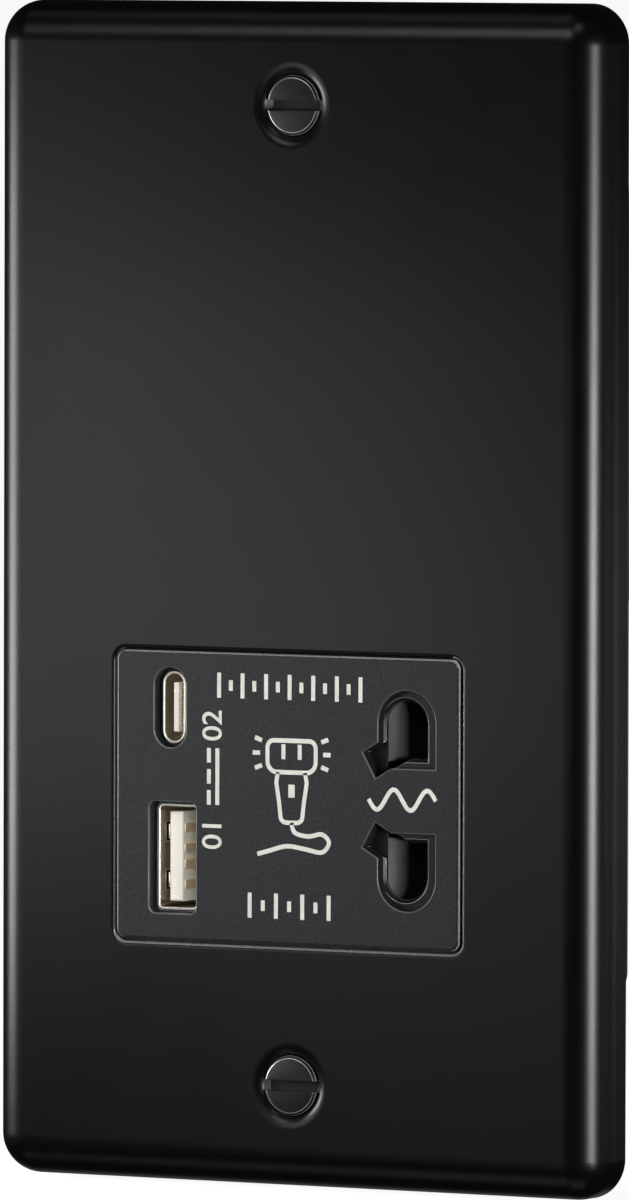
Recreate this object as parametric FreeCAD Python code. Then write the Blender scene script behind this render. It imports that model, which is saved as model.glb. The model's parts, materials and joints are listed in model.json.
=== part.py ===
"""Shaver supply unit on a vertical twin plate, with two USB outlets.

Millimetres. +X is to the right seen from the front, +Y goes into the wall and
+Z is up. The origin is on the wall's surface, midway between the two fixing screws.
"""
import FreeCAD, Part
import math
import os

V = FreeCAD.Vector
AXIS_X = V(1, 0, 0)
AXIS_Y = V(0, 1, 0)
AXIS_Z = V(0, 0, 1)

# Isolating transformer, which sets the size of the deep part of the housing
CORE_W = 54.0
CORE_H = 45.0
CORE_STACK = 20.0
CORE_LEG = 9.0
BOBBIN_T = 1.0
BOBBIN_CLEAR = 0.3
WINDING_DEPTH = 7.0
WINDING_CORNER_R = 2.5
WINDING_INSET = 0.4
WINDING_ROOM = 0.9
THERMAL_L = 9.0
THERMAL_W = 4.4
THERMAL_T = 0.8
CRADLE = 5.0

# Rear housing, deep over the transformer and shallow behind the outlets
HOUSING_WALL = 1.8
HOUSING_CORNER_R = 3.0
HOUSING_BACK_EDGE = 1.2
HOUSING_SIDE_ROOM = 2.2
CORE_ROOM_TOP = 1.1
CORE_ROOM_BOTTOM = 1.3
OUTLET_BAY_H = 49.0
OUTLET_BAY_ROOM = 5.19
HOUSING_RIB_CLEAR = 0.1
HOUSING_RIB_OFFSET = 11.0
FLANGE_T = 2.0

# Module cover behind the plate, with its ears
COVER_T = 1.8
COVER_MARGIN = 2.0
COVER_CORNER_R = 3.0
PAD_CLEAR = 0.3
EAR_INSET = 9.0
EAR_OUT = 1.4
EAR_R = 3.8

# Fixing screws and their pressed seats in the plate
FIXING_ROOM = 8.3
FIXING_R = 1.75
FIXING_LENGTH = 30.0
FIXING_NECK_R = 1.55
FIXING_NECK_L = 0.7
HEAD_R = 3.7
HEAD_TOP_BEVEL = 0.32
HEAD_RIM = 0.3
HEAD_SUNK = 0.15
SLOT_W = 1.35
SLOT_DEPTH = 1.1
SEAT_LIP = 1.5
SEAT_CLEAR = 0.04

# Front plate, pressed from one sheet
PLATE_W = 86.0
PLATE_END = 12.7
PLATE_PROJECTION = 7.5
PLATE_SHEET = 1.2
PLATE_CORNER_R = 5.1
PLATE_EDGE_R = 5.1
CUTOUT_CORNER_R = 1.7
CUTOUT_EDGE = 0.25

# Shaver openings: round pins, flat blades and slanted blades share each one
PIN_RISE = 0.1
OPENING_X = 16.5
OPENING_W = 8.0
OPENING_FLAT = 4.0
OPENING_ARC = 9.54
OPENING_EDGE = 0.12
SLANT_ANGLE = 30.0
SLANT_W = 3.6
SLANT_OFFSET = 7.34
SLANT_REACH = 6.12
INNER_SHIFT = 0.95
INNER_W = 5.7
INNER_FLAT = 5.13
INNER_ARC = 9.35
INNER_CHAMFER = 0.45

# Moulded insert in the plate's cut-out
INSERT_RISE = 25.2
INSERT_MARGIN_W = 7.7
INSERT_MARGIN_H = 4.56
INSERT_GAP = 0.4
INSERT_PROUD = 0.13
INSERT_WALL = 1.4
INSERT_EDGE = 0.3
INSERT_SKIRT = 1.5
INSERT_FLANGE = 2.6
INSERT_FLANGE_T = 1.3

# USB outlets
SHELL_T = 0.3
SHELL_CLEAR = 0.12
CONTACT_PROUD = 0.06
USB_A_DROP = 7.9
USB_A_W = 5.72
USB_A_H = 13.1
USB_A_CORNER_R = 0.7
USB_A_SET_BACK = 1.3
USB_A_LENGTH = 14.0
USB_A_RECESS_W = 6.8
USB_A_RECESS_H = 13.8
USB_A_RECESS_R = 0.9
TONGUE_A_T = 1.84
TONGUE_A_H = 11.1
TONGUE_A_SET_BACK = 1.1
TONGUE_A_LENGTH = 8.6
TONGUE_A_WALL_GAP = 0.7
TONGUE_A_EDGE_R = 0.35
CONTACT_A_W = 1.1
CONTACT_A_OFFSETS = (3.5, 1.0)
CONTACT_A_SET_BACK = 0.6
FINGER_OFFSET = 3.0
FINGER_W = 1.8
FINGER_SLIT = 0.3
FINGER_START = 1.6
FINGER_LENGTH = 5.6
FINGER_BEND = 0.35
USB_C_SHIFT = 0.44
USB_C_RISE = 10.63
USB_C_W = 3.26
USB_C_H = 8.94
USB_C_SET_BACK = 1.0
USB_C_LENGTH = 8.0
USB_C_RECESS_W = 4.5
USB_C_RECESS_H = 9.9
TONGUE_C_T = 0.7
TONGUE_C_H = 6.1
TONGUE_C_SET_BACK = 0.5
TONGUE_C_LENGTH = 5.0
TONGUE_C_EDGE_R = 0.15
CONTACT_C_PITCH = 0.5
CONTACT_C_COUNT = 10
CONTACT_C_W = 0.26
CONTACT_C_SET_BACK = 0.45

# Shutter that slides sideways behind the shaver openings
SHUTTER_SET_BACK = 2.35
SHUTTER_RAMP = 46.5
SHUTTER_TRAVEL = 9.0
SHUTTER_OVERLAP = 0.5
SHUTTER_EDGE_LAP = 0.1
SHUTTER_TIP_T = 1.3
SHUTTER_BAR_W = 6.1
SHUTTER_HALF_H = 13.7
SHUTTER_CAM_RISE = 1.0
SHUTTER_CLEAR = 0.15
SHUTTER_STOP = 0.3
CHAMBER_WALL = 1.2
SPRING_W = 3.0
SPRING_T = 0.25
SPRING_HALF_H = 3.2
SPRING_FOLDS = 7
SPRING_CLOSED_L = 5.5
SPRING_SEAT_GAP = 0.1

# Snap switch that the shutter works
SWITCH_W = 12.8
SWITCH_H = 6.4
SWITCH_D = 5.8
SWITCH_INSET = 4.9
PLUNGER_INSET = 6.3
PLUNGER_R = 0.9
PLUNGER_TIP_R = 0.3
PLUNGER_CLEAR = 0.08
PLUNGER_TIP_CLEAR = 0.15
PLUNGER_HOLD = 1.6
SWITCH_TAG_W = 2.4
SWITCH_TAG_T = 0.5
SWITCH_TAG_L = 4.0
SWITCH_TAG_PITCH = 4.5

# Contact carrier and contacts
CARRIER_T = 1.8
CARRIER_DEPTH = 16.0
CARRIER_FLOOR = 1.8
CARRIER_SIDE = 2.2
CARRIER_EDGE = 1.6
POCKET_W = 6.6
POCKET_INNER = 4.2
POCKET_OUTER = 13.2
STRIP_T = 0.5
CONTACT_W = 5.2
CONTACT_NIP = 1.2
CONTACT_NIP_AT = 7.4
CONTACT_NIP_DEPTH = 5.3
CONTACT_FOOT = 2.0
CONTACT_FRONT_GAP = 0.8
TAIL_W = 2.8
TAIL_L = 3.6
TAIL_CLEAR = 0.15

# Screws, bushes and bosses that hold the module together and to the plate
HOLE_CLEAR = 0.15
THREAD_CLEAR = 0.04
BUSH_ACROSS = 4.6
BUSH_CLEAR = 0.1
MODULE_SCREW_R = 1.5
MODULE_SCREW_HEAD_R = 2.8
MODULE_SCREW_HEAD_T = 1.7
COVER_SCREW_R = 1.25
COVER_SCREW_HEAD_R = 2.3
COVER_SCREW_HEAD_T = 1.1
COVER_SCREW_L = 10.0
SMALL_SLOT_W = 0.7
CROSS_REACH = 0.65
COVER_BOSS_W = 5.8
COVER_BOSS_INSET = 3.4
COVER_BOSS_DROP = 0.5
COVER_BOSS_L = 12.0

# Supply terminals
TERMINAL_X = 8.0
TERMINAL_DROP = 11.5
BLOCK_W = 30.0
BLOCK_H = 17.0
BLOCK_D = 12.5
CLAMP_W = 6.6
CLAMP_D = 7.6
CLAMP_H = 10.0
CLAMP_CLEAR = 0.1
CLAMP_FLOOR = 1.6
WIRE_R = 1.75
WIRE_MOUTH_R = 2.3
CLAMP_SCREW_R = 1.5
CLAMP_SCREW_HEAD_R = 2.4
CLAMP_SCREW_HEAD_T = 1.8
BLOCK_SCREW_L = 15.0
BLOCK_BOSS_L = 6.0
EARTH_INSET = 11.0
EARTH_GAP = 1.1
EARTH_W = 7.0
EARTH_H = 7.0
EARTH_D = 13.8

# USB charger board
BOARD_T = 1.6
BOARD_H = 37.0
BOARD_DROP = 0.6
BOARD_FRONT_GAP = 0.3
BOARD_BACK_GAP = 1.5
BOARD_CHIP_ROOM = 2.8
BOARD_RAIL = 1.5
COIL_ROOM = 3.6
COIL_H = 13.0
COIL_D = 9.5
COIL_BITE = 2.6
COIL_INSET = 1.8
CAN_R = 3.4
CAN_ROOM = 4.6
CAN_GAP = 1.2
CHIP_W = 5.0
CHIP_D = 4.0
CHIP_T = 1.6

# How far a cutting shape runs past what it cuts
PAST = 1.0

# Outlines along X and Z that follow from the transformer outwards
HOUSING_W = CORE_W + 2 * (HOUSING_SIDE_ROOM + HOUSING_WALL)
HOUSING_H = OUTLET_BAY_H + CORE_ROOM_BOTTOM + CORE_H + CORE_ROOM_TOP + 2 * HOUSING_WALL
HOUSING_STEP_Z = OUTLET_BAY_H - HOUSING_H / 2
CORE_Z = HOUSING_STEP_Z + HOUSING_WALL + CORE_ROOM_BOTTOM + CORE_H / 2
COVER_W = HOUSING_W + 2 * COVER_MARGIN
COVER_H = HOUSING_H + 2 * COVER_MARGIN
EAR_X = COVER_W / 2 - EAR_INSET
EAR_Z = COVER_H / 2 + EAR_OUT
COVER_BOSS_X = HOUSING_W / 2 - HOUSING_WALL - COVER_BOSS_INSET
COVER_BOSS_Z = HOUSING_STEP_Z - COVER_BOSS_DROP
TERMINAL_Z = HOUSING_STEP_Z - TERMINAL_DROP
FIXING_CENTRES = COVER_H + 2 * FIXING_ROOM
PLATE_H = FIXING_CENTRES + 2 * PLATE_END
EARTH_X = EAR_X - EARTH_INSET
EARTH_Z = COVER_H / 2 + EARTH_GAP + EARTH_H / 2

# Outline of the insert and of the pad that stands in it
INSERT_Z = INSERT_RISE - HOUSING_H / 2
INSERT_W = 2 * (OPENING_X + INSERT_MARGIN_W)
INSERT_H = 2 * (OPENING_ARC + OPENING_W / 2 + INSERT_MARGIN_H)
INSERT_CORNER_R = CUTOUT_CORNER_R - INSERT_GAP
CUTOUT_W = INSERT_W + 2 * INSERT_GAP
CUTOUT_H = INSERT_H + 2 * INSERT_GAP
HOLLOW_W = INSERT_W - 2 * INSERT_SKIRT
HOLLOW_H = INSERT_H - 2 * INSERT_SKIRT
PIN_MID_Z = INSERT_Z + PIN_RISE

# Planes along Y from the face to the shutter
FRONT_Y = -PLATE_PROJECTION
SHEET_BACK_Y = FRONT_Y + PLATE_SHEET
INSERT_Y = FRONT_Y - INSERT_PROUD
INSERT_BACK_Y = INSERT_Y + INSERT_WALL
COVER_Y = SHEET_BACK_Y + INSERT_FLANGE_T
COVER_BACK_Y = COVER_Y + COVER_T
FLANGE_BACK_Y = COVER_BACK_Y + FLANGE_T
SHUTTER_Y = INSERT_Y + SHUTTER_SET_BACK

# The shutter and the chamber it slides in
INNER_X = OPENING_X - INNER_SHIFT
RAMP_X = INNER_X - INNER_W / 2 - SHUTTER_EDGE_LAP
SHUTTER_RIGHT = INNER_X + INNER_W / 2 + SHUTTER_OVERLAP
SHUTTER_LEFT = RAMP_X - SHUTTER_BAR_W
RAMP_SLOPE = math.tan(math.radians(SHUTTER_RAMP))
SHUTTER_BACK_Y = SHUTTER_Y + (SHUTTER_RIGHT - RAMP_X) * RAMP_SLOPE + SHUTTER_TIP_T
CHAMBER_RIGHT = SHUTTER_RIGHT + SHUTTER_STOP
CHAMBER_LEFT = SHUTTER_LEFT - SHUTTER_TRAVEL - SPRING_CLOSED_L
CAM_SLOPE = SHUTTER_CAM_RISE / SHUTTER_TRAVEL
SHUTTER_BOTTOM = PIN_MID_Z - SHUTTER_HALF_H
CHAMBER_BOTTOM = SHUTTER_BOTTOM - SHUTTER_CLEAR
SWITCH_LEFT = SHUTTER_LEFT - SWITCH_INSET
PLUNGER_X = SWITCH_LEFT + PLUNGER_INSET

# The outlets and their board, left of the chamber
BOARD_RIGHT = CHAMBER_LEFT - CHAMBER_WALL - BOARD_CHIP_ROOM
BOARD_LEFT = BOARD_RIGHT - BOARD_T
BOARD_Z = INSERT_Z - BOARD_DROP
USB_A_X = BOARD_LEFT - USB_A_W / 2
USB_A_Z = INSERT_Z - USB_A_DROP
USB_C_X = USB_A_X - USB_C_SHIFT
USB_C_Z = INSERT_Z + USB_C_RISE

# Planes along Y behind the shutter and round the transformer
CARRIER_Y = SHUTTER_BACK_Y + SHUTTER_CLEAR
HOUSING_SHALLOW_Y = CARRIER_Y + CARRIER_DEPTH + OUTLET_BAY_ROOM
BOARD_FRONT = COVER_BACK_Y + BOARD_FRONT_GAP
BOARD_BACK = HOUSING_SHALLOW_Y - HOUSING_WALL - BOARD_BACK_GAP
WINDING_REACH = CORE_STACK / 2 + BOBBIN_CLEAR + BOBBIN_T + WINDING_DEPTH
CORE_Y = COVER_BACK_Y + WINDING_ROOM + WINDING_REACH
HOUSING_DEEP_Y = CORE_Y + WINDING_REACH + WINDING_ROOM + HOUSING_WALL


def cam_z(x):
    """Height of the shutter's sloping top edge at a place along X, with the shutter shut."""
    return PIN_MID_Z + SHUTTER_HALF_H + (x - SHUTTER_LEFT) * CAM_SLOPE


CHAMBER_TOP = cam_z(SHUTTER_RIGHT) + SHUTTER_CLEAR


def box(x0, x1, y0, y1, z0, z1):
    """Block between two corners."""
    return Part.makeBox(x1 - x0, y1 - y0, z1 - z0, V(x0, y0, z0))


def cylinder_y(x, z, r, y0, y1):
    """Round bar along Y."""
    return Part.makeCylinder(r, y1 - y0, V(x, y0, z), AXIS_Y)


def cylinder_z(x, y, r, z0, z1):
    """Round bar along Z."""
    return Part.makeCylinder(r, z1 - z0, V(x, y, z0), AXIS_Z)


def cylinder_x(y, z, r, x0, x1):
    """Round bar along X."""
    return Part.makeCylinder(r, x1 - x0, V(x0, y, z), AXIS_X)


def rounded_block(cx, cz, w, h, r, y0, y1):
    """Block with its four edges along Y rounded."""
    block = box(cx - w / 2, cx + w / 2, y0, y1, cz - h / 2, cz + h / 2)
    corners = [e for e in block.Edges if abs(e.tangentAt(e.FirstParameter).dot(AXIS_Y)) > 0.99]
    return block.makeFillet(r, corners)


def slot_block(cx, cz, w, h, y0, y1):
    """Upright slot with half-round ends, as a solid along Y."""
    r = w / 2
    reach = h / 2 - r
    middle = box(cx - r, cx + r, y0, y1, cz - reach, cz + reach)
    ends = [cylinder_y(cx, cz + side * reach, r, y0, y1) for side in (-1, 1)]
    return middle.multiFuse(ends).removeSplitter()


def edges_at_y(shape, y):
    """Edges that lie in the plane at y."""
    return [e for e in shape.Edges if all(abs(v.Point.y - y) < 1e-6 for v in e.Vertexes)
            and abs(e.valueAt((e.FirstParameter + e.LastParameter) / 2).y - y) < 1e-6]


def edges_in_box(shape, y, x0, x1, z0, z1):
    """Edges in the plane at y whose middle lies between the given limits."""
    chosen = []
    for edge in edges_at_y(shape, y):
        middle = edge.valueAt((edge.FirstParameter + edge.LastParameter) / 2)
        if x0 < middle.x < x1 and z0 < middle.z < z1:
            chosen.append(edge)
    return chosen


def turned(points, x, z):
    """Solid turned about an axis along Y: the points are pairs of radius and y."""
    ring = [V(r, y, 0) for r, y in points]
    face = Part.Face(Part.makePolygon(ring + ring[:1]))
    solid = face.revolve(V(0, 0, 0), AXIS_Y, 360)
    solid.translate(V(x, 0, z))
    return solid


def thick_path(points, thickness, y0, y1):
    """Folded strip: the points run along its middle in a plane across Y, its width runs along Y."""
    left, right = [], []
    last = len(points) - 1
    for i, point in enumerate(points):
        into = (point - points[max(i - 1, 0)]) if i else (points[1] - point)
        out = (points[min(i + 1, last)] - point) if i < last else into
        into = V(into).normalize()
        out = V(out).normalize()
        along = (into + out).normalize()
        normal = V(-along.z, 0, along.x)
        reach = thickness / 2 / along.dot(into)
        left.append(point + normal * reach + V(0, y0, 0))
        right.append(point - normal * reach + V(0, y0, 0))
    ring = left + right[::-1]
    return Part.Face(Part.makePolygon(ring + ring[:1])).extrude(V(0, y1 - y0, 0))


def bent_strip(points, thickness, x0, x1):
    """Bent metal strip: points are pairs of y and z along its middle, its width runs along X."""
    strip = thick_path([V(y, 0, z) for y, z in points], thickness, 0, x1 - x0)
    strip.rotate(V(0, 0, 0), AXIS_Z, 90)
    strip.translate(V(x1, 0, 0))
    return strip


def mirrored_z(shape, z):
    """Copy of a shape mirrored in the level plane at z."""
    return shape.mirror(V(0, 0, z), AXIS_Z)


def one_solid(shape):
    """The single solid of a result that holds one."""
    solids = shape.Solids
    if len(solids) != 1:
        raise ValueError("expected one solid, found %d" % len(solids))
    return solids[0]


def fixing_places():
    """Centres of the two fixing screws as pairs of x and z."""
    return [(0.0, side * FIXING_CENTRES / 2) for side in (-1, 1)]


def ear_places():
    """Centres of the four ears that hold the module to the plate."""
    return [(sx * EAR_X, sz * EAR_Z) for sx in (-1, 1) for sz in (-1, 1)]


def boss_places():
    """Centres of the two bosses that the cover is screwed to."""
    return [(sx * COVER_BOSS_X, COVER_BOSS_Z) for sx in (-1, 1)]


def seat_mouth_r():
    """Radius at the plate's front of the cone that the screw head sits in."""
    rim_y = HEAD_SUNK + HEAD_TOP_BEVEL + HEAD_RIM
    return HEAD_R + rim_y + SEAT_CLEAR * math.sqrt(2)


def seat_cutter(x, z):
    """Rounded lip, cone and hole that one fixing screw passes through."""
    mouth = seat_mouth_r()
    hole = FIXING_R + HOLE_CLEAR
    slope = math.tan(math.radians(22.5))
    lip_y = FRONT_Y + SEAT_LIP * slope
    cone_y = FRONT_Y + mouth - hole
    far_y = cone_y + PLATE_SHEET * 2
    return turned([(0, FRONT_Y - PAST), (mouth + SEAT_LIP - SEAT_LIP * slope, FRONT_Y - PAST),
                   (mouth + SEAT_LIP - SEAT_LIP * slope, FRONT_Y), (mouth - SEAT_LIP * slope, lip_y),
                   (hole, cone_y), (hole, far_y), (0, far_y)], x, z)


def seat_swell(x, z):
    """Back of the pressed seat, one sheet thickness behind its cone."""
    slant = PLATE_SHEET * (math.sqrt(2) - 1)
    wide = seat_mouth_r() + slant
    narrow = FIXING_R + HOLE_CLEAR + PLATE_SHEET
    front = FRONT_Y + PLATE_SHEET / 2
    back = FRONT_Y + PLATE_SHEET + wide - narrow
    return turned([(0, front), (wide, front), (wide, SHEET_BACK_Y), (narrow, back), (0, back)], x, z)


def make_front_plate():
    """Pressed plate with a rounded front edge, two screw seats and the insert's cut-out."""
    outer = rounded_block(0, 0, PLATE_W, PLATE_H, PLATE_CORNER_R, FRONT_Y, 0)
    outer = outer.makeFillet(PLATE_EDGE_R, edges_at_y(outer, FRONT_Y))
    inner = rounded_block(0, 0, PLATE_W - 2 * PLATE_SHEET, PLATE_H - 2 * PLATE_SHEET,
                          PLATE_CORNER_R - PLATE_SHEET, SHEET_BACK_Y, PAST)
    inner = inner.makeFillet(PLATE_EDGE_R - PLATE_SHEET, edges_at_y(inner, SHEET_BACK_Y))
    plate = outer.cut(inner)
    cutout = rounded_block(0, INSERT_Z, CUTOUT_W, CUTOUT_H, CUTOUT_CORNER_R, FRONT_Y - PAST, 0)
    plate = one_solid(plate.cut(cutout))
    half_w = CUTOUT_W / 2 + 1
    half_h = CUTOUT_H / 2 + 1
    rim = edges_in_box(plate, FRONT_Y, -half_w, half_w, INSERT_Z - half_h, INSERT_Z + half_h)
    plate = plate.makeChamfer(CUTOUT_EDGE, rim)
    for x, z in fixing_places():
        plate = plate.fuse(seat_swell(x, z)).cut(seat_cutter(x, z))
    return one_solid(plate.removeSplitter())


def make_fixing_screws():
    """Slotted countersunk screws with a bevelled top and a plain neck, one solid each."""
    top = FRONT_Y + HEAD_SUNK
    rim = top + HEAD_TOP_BEVEL
    cone = rim + HEAD_RIM
    neck = cone + HEAD_R - FIXING_NECK_R
    thread = neck + FIXING_NECK_L
    end = top + FIXING_LENGTH
    points = [(0, top), (HEAD_R - HEAD_TOP_BEVEL, top), (HEAD_R, rim), (HEAD_R, cone),
              (FIXING_NECK_R, neck), (FIXING_NECK_R, thread), (FIXING_R, thread), (FIXING_R, end), (0, end)]
    screws = []
    for x, z in fixing_places():
        slot = box(x - HEAD_R, x + HEAD_R, top - PAST, top + SLOT_DEPTH, z - SLOT_W / 2, z + SLOT_W / 2)
        screws.append(turned(points, x, z).cut(slot))
    return Part.makeCompound(screws)


def pin_shape(cx, width, flat, arc, y0, y1):
    """Upper pin opening: half-round at the top, flat at the bottom, as a solid along Y."""
    r = width / 2
    straight = box(cx - r, cx + r, y0, y1, PIN_MID_Z + flat, PIN_MID_Z + arc)
    return straight.fuse(cylinder_y(cx, PIN_MID_Z + arc, r, y0, y1))


def slant_shape(y0, y1):
    """Slot for a slanted blade, running down and to the left out of the upper opening."""
    slot = box(-SLANT_REACH, 0, y0, y1, -SLANT_W / 2, SLANT_W / 2)
    slot.rotate(V(0, 0, 0), AXIS_Y, -SLANT_ANGLE)
    slot.translate(V(OPENING_X, 0, PIN_MID_Z + SLANT_OFFSET))
    return slot


def both_openings(upper):
    """An upper opening together with its mirror image below it."""
    return upper.fuse(mirrored_z(upper, PIN_MID_Z))


def outer_openings(y0, y1):
    """Openings as the insert's face has them."""
    upper = pin_shape(OPENING_X, OPENING_W, OPENING_FLAT, OPENING_ARC, y0, y1).fuse(slant_shape(y0, y1))
    return both_openings(upper.removeSplitter())


def inner_openings(y0, y1):
    """Narrower openings in the ledge behind the insert's face, with a sloping edge."""
    upper = pin_shape(INNER_X, INNER_W, INNER_FLAT, INNER_ARC, y0, y1).removeSplitter()
    wide = pin_shape(INNER_X, INNER_W + 2 * INNER_CHAMFER, INNER_FLAT - INNER_CHAMFER, INNER_ARC, y0, y1)
    wide = wide.removeSplitter()
    bottom = [w for w in wide.Faces if abs(w.CenterOfMass.y - y0) < 1e-6][0].OuterWire
    narrow = [w for w in upper.Faces if abs(w.CenterOfMass.y - y0) < 1e-6][0].OuterWire.copy()
    narrow.translate(V(0, 1 + INNER_CHAMFER, 0))
    wide_wire = bottom.copy()
    wide_wire.translate(V(0, 1, 0))
    slope = Part.makeLoft([wide_wire, narrow], True, True)
    upper = upper.fuse(slope).fuse(slant_shape(y0, y1))
    return both_openings(upper)


def make_front_insert():
    """Face moulding with a skirt and a flange that the plate traps from the front."""
    face = rounded_block(0, INSERT_Z, INSERT_W, INSERT_H, INSERT_CORNER_R, INSERT_Y, COVER_Y)
    face = face.makeChamfer(INSERT_EDGE, edges_at_y(face, INSERT_Y))
    flange = rounded_block(0, INSERT_Z, INSERT_W + 2 * INSERT_FLANGE, INSERT_H + 2 * INSERT_FLANGE,
                           INSERT_CORNER_R + INSERT_FLANGE, SHEET_BACK_Y, COVER_Y)
    hollow = box(-HOLLOW_W / 2, HOLLOW_W / 2, INSERT_BACK_Y, COVER_Y + PAST,
                 INSERT_Z - HOLLOW_H / 2, INSERT_Z + HOLLOW_H / 2)
    insert = face.fuse(flange).cut(hollow).removeSplitter()
    front, back = INSERT_Y - PAST, COVER_Y
    insert = insert.cut(outer_openings(front, back))
    insert = insert.cut(slot_block(USB_C_X, USB_C_Z, USB_C_RECESS_W, USB_C_RECESS_H, front, back))
    insert = insert.cut(rounded_block(USB_A_X, USB_A_Z, USB_A_RECESS_W, USB_A_RECESS_H,
                                      USB_A_RECESS_R, front, back))
    insert = one_solid(insert)
    limit_x = INSERT_W / 2 - 2 * INSERT_EDGE
    limit_z = INSERT_H / 2 - 2 * INSERT_EDGE
    rims = edges_in_box(insert, INSERT_Y, -limit_x, limit_x, INSERT_Z - limit_z, INSERT_Z + limit_z)
    return one_solid(insert.makeChamfer(OPENING_EDGE, rims))


def ear_flange(y0, y1):
    """Rounded plate of the module's outline, with its four ears."""
    flange = rounded_block(0, 0, COVER_W, COVER_H, COVER_CORNER_R, y0, y1)
    ears = [cylinder_y(x, z, EAR_R, y0, y1) for x, z in ear_places()]
    return flange.multiFuse(ears).removeSplitter()


def cradle_places():
    """Centres of the four pillars that clamp the transformer core by its corners."""
    inset = CRADLE / 2
    return [(sx * (CORE_W / 2 - inset), CORE_Z + sz * (CORE_H / 2 - inset))
            for sx in (-1, 1) for sz in (-1, 1)]


def pillar(x, z, y0, y1):
    """Square pillar along Y."""
    half = CRADLE / 2
    return box(x - half, x + half, y0, y1, z - half, z + half)


def make_module_cover():
    """Front cover of the module: ledges for the pins and the chamber that the shutter slides in."""
    cover = ear_flange(COVER_Y, COVER_BACK_Y)
    pad_w = HOLLOW_W - 2 * PAD_CLEAR
    pad_h = HOLLOW_H - 2 * PAD_CLEAR
    pad = box(-pad_w / 2, pad_w / 2, INSERT_BACK_Y, COVER_Y, INSERT_Z - pad_h / 2, INSERT_Z + pad_h / 2)
    walls = box(CHAMBER_LEFT - CHAMBER_WALL, CHAMBER_RIGHT + CHAMBER_WALL, COVER_Y, CARRIER_Y,
                CHAMBER_BOTTOM - CHAMBER_WALL, CHAMBER_TOP + CHAMBER_WALL)
    chamber = box(CHAMBER_LEFT, CHAMBER_RIGHT, SHUTTER_Y - SHUTTER_CLEAR, CARRIER_Y + PAST,
                  CHAMBER_BOTTOM, CHAMBER_TOP)
    front_y = CORE_Y - CORE_STACK / 2
    pillars = [pillar(x, z, COVER_BACK_Y, front_y) for x, z in cradle_places()]
    cover = cover.multiFuse([pad, walls] + pillars).cut(chamber)
    cover = cover.cut(inner_openings(INSERT_BACK_Y - PAST, SHUTTER_Y))
    front, back = INSERT_BACK_Y - PAST, COVER_BACK_Y + PAST
    cover = cover.cut(slot_block(USB_C_X, USB_C_Z, USB_C_W + 2 * SHELL_CLEAR,
                                 USB_C_H + 2 * SHELL_CLEAR, front, back))
    cover = cover.cut(rounded_block(USB_A_X, USB_A_Z, USB_A_W + 2 * SHELL_CLEAR, USB_A_H + 2 * SHELL_CLEAR,
                                    USB_A_CORNER_R + SHELL_CLEAR, front, back))
    for x, z in ear_places():
        cover = cover.cut(hexagon(x, z, BUSH_ACROSS + 2 * BUSH_CLEAR, COVER_Y - PAST, COVER_BACK_Y + PAST))
    for x, z in boss_places():
        cover = cover.cut(cylinder_y(x, z, COVER_SCREW_R + HOLE_CLEAR, COVER_Y - PAST, COVER_BACK_Y + PAST))
    plunger_hole = cylinder_z(PLUNGER_X, switch_centre_y(), PLUNGER_R + HOLE_CLEAR,
                              CHAMBER_TOP - PAST, CHAMBER_TOP + CHAMBER_WALL + PAST)
    return one_solid(cover.cut(plunger_hole).removeSplitter())


def headed_screw(x, z, r, head_r, head_t, tip_y, seat_y, recess):
    """Cylinder-head screw along Y from its tip to its head's seat, with a slot or a cross recess."""
    step = math.copysign(1, seat_y - tip_y)
    top = seat_y + step * head_t
    screw = turned([(0, tip_y), (r, tip_y), (r, seat_y), (head_r, seat_y), (head_r, top), (0, top)], x, z)
    floor_y, past_y = sorted((top - step * head_t / 2, top + step * PAST))
    half = SMALL_SLOT_W / 2
    if recess == "slot":
        return screw.cut(box(x - head_r, x + head_r, floor_y, past_y, z - half, z + half))
    reach = head_r * CROSS_REACH
    level = box(x - reach, x + reach, floor_y, past_y, z - half, z + half)
    upright = box(x - half, x + half, floor_y, past_y, z - reach, z + reach)
    return screw.cut(level.fuse(upright))


def make_cover_screws():
    """Two screws from the front that close the module, one solid each."""
    tip = COVER_Y + COVER_SCREW_L
    return Part.makeCompound([headed_screw(x, z, COVER_SCREW_R, COVER_SCREW_HEAD_R, COVER_SCREW_HEAD_T,
                                           tip, COVER_Y, "cross") for x, z in boss_places()])


def hexagon(x, z, across, y0, y1):
    """Hexagonal bar along Y with its flats up and down."""
    r = across / 2 / math.cos(math.radians(30))
    ring = [V(x + r * math.cos(math.radians(60 * i)), y0, z + r * math.sin(math.radians(60 * i)))
            for i in range(6)]
    return Part.Face(Part.makePolygon(ring + ring[:1])).extrude(V(0, y1 - y0, 0))


def make_plate_bushes():
    """Threaded hexagonal bushes staked to the back of the plate, which locate and hold the module."""
    bushes = []
    for x, z in ear_places():
        bush = hexagon(x, z, BUSH_ACROSS, SHEET_BACK_Y, COVER_BACK_Y - BUSH_CLEAR)
        bore = cylinder_y(x, z, MODULE_SCREW_R + THREAD_CLEAR, SHEET_BACK_Y + THREAD_CLEAR, COVER_BACK_Y)
        bushes.append(bush.cut(bore))
    return Part.makeCompound(bushes)


def make_module_screws():
    """Cross-recess screws from the back through the housing's ears into the bushes."""
    end = SHEET_BACK_Y + 2 * THREAD_CLEAR
    return Part.makeCompound([headed_screw(x, z, MODULE_SCREW_R, MODULE_SCREW_HEAD_R, MODULE_SCREW_HEAD_T,
                                           end, FLANGE_BACK_Y, "cross") for x, z in ear_places()])


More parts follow.
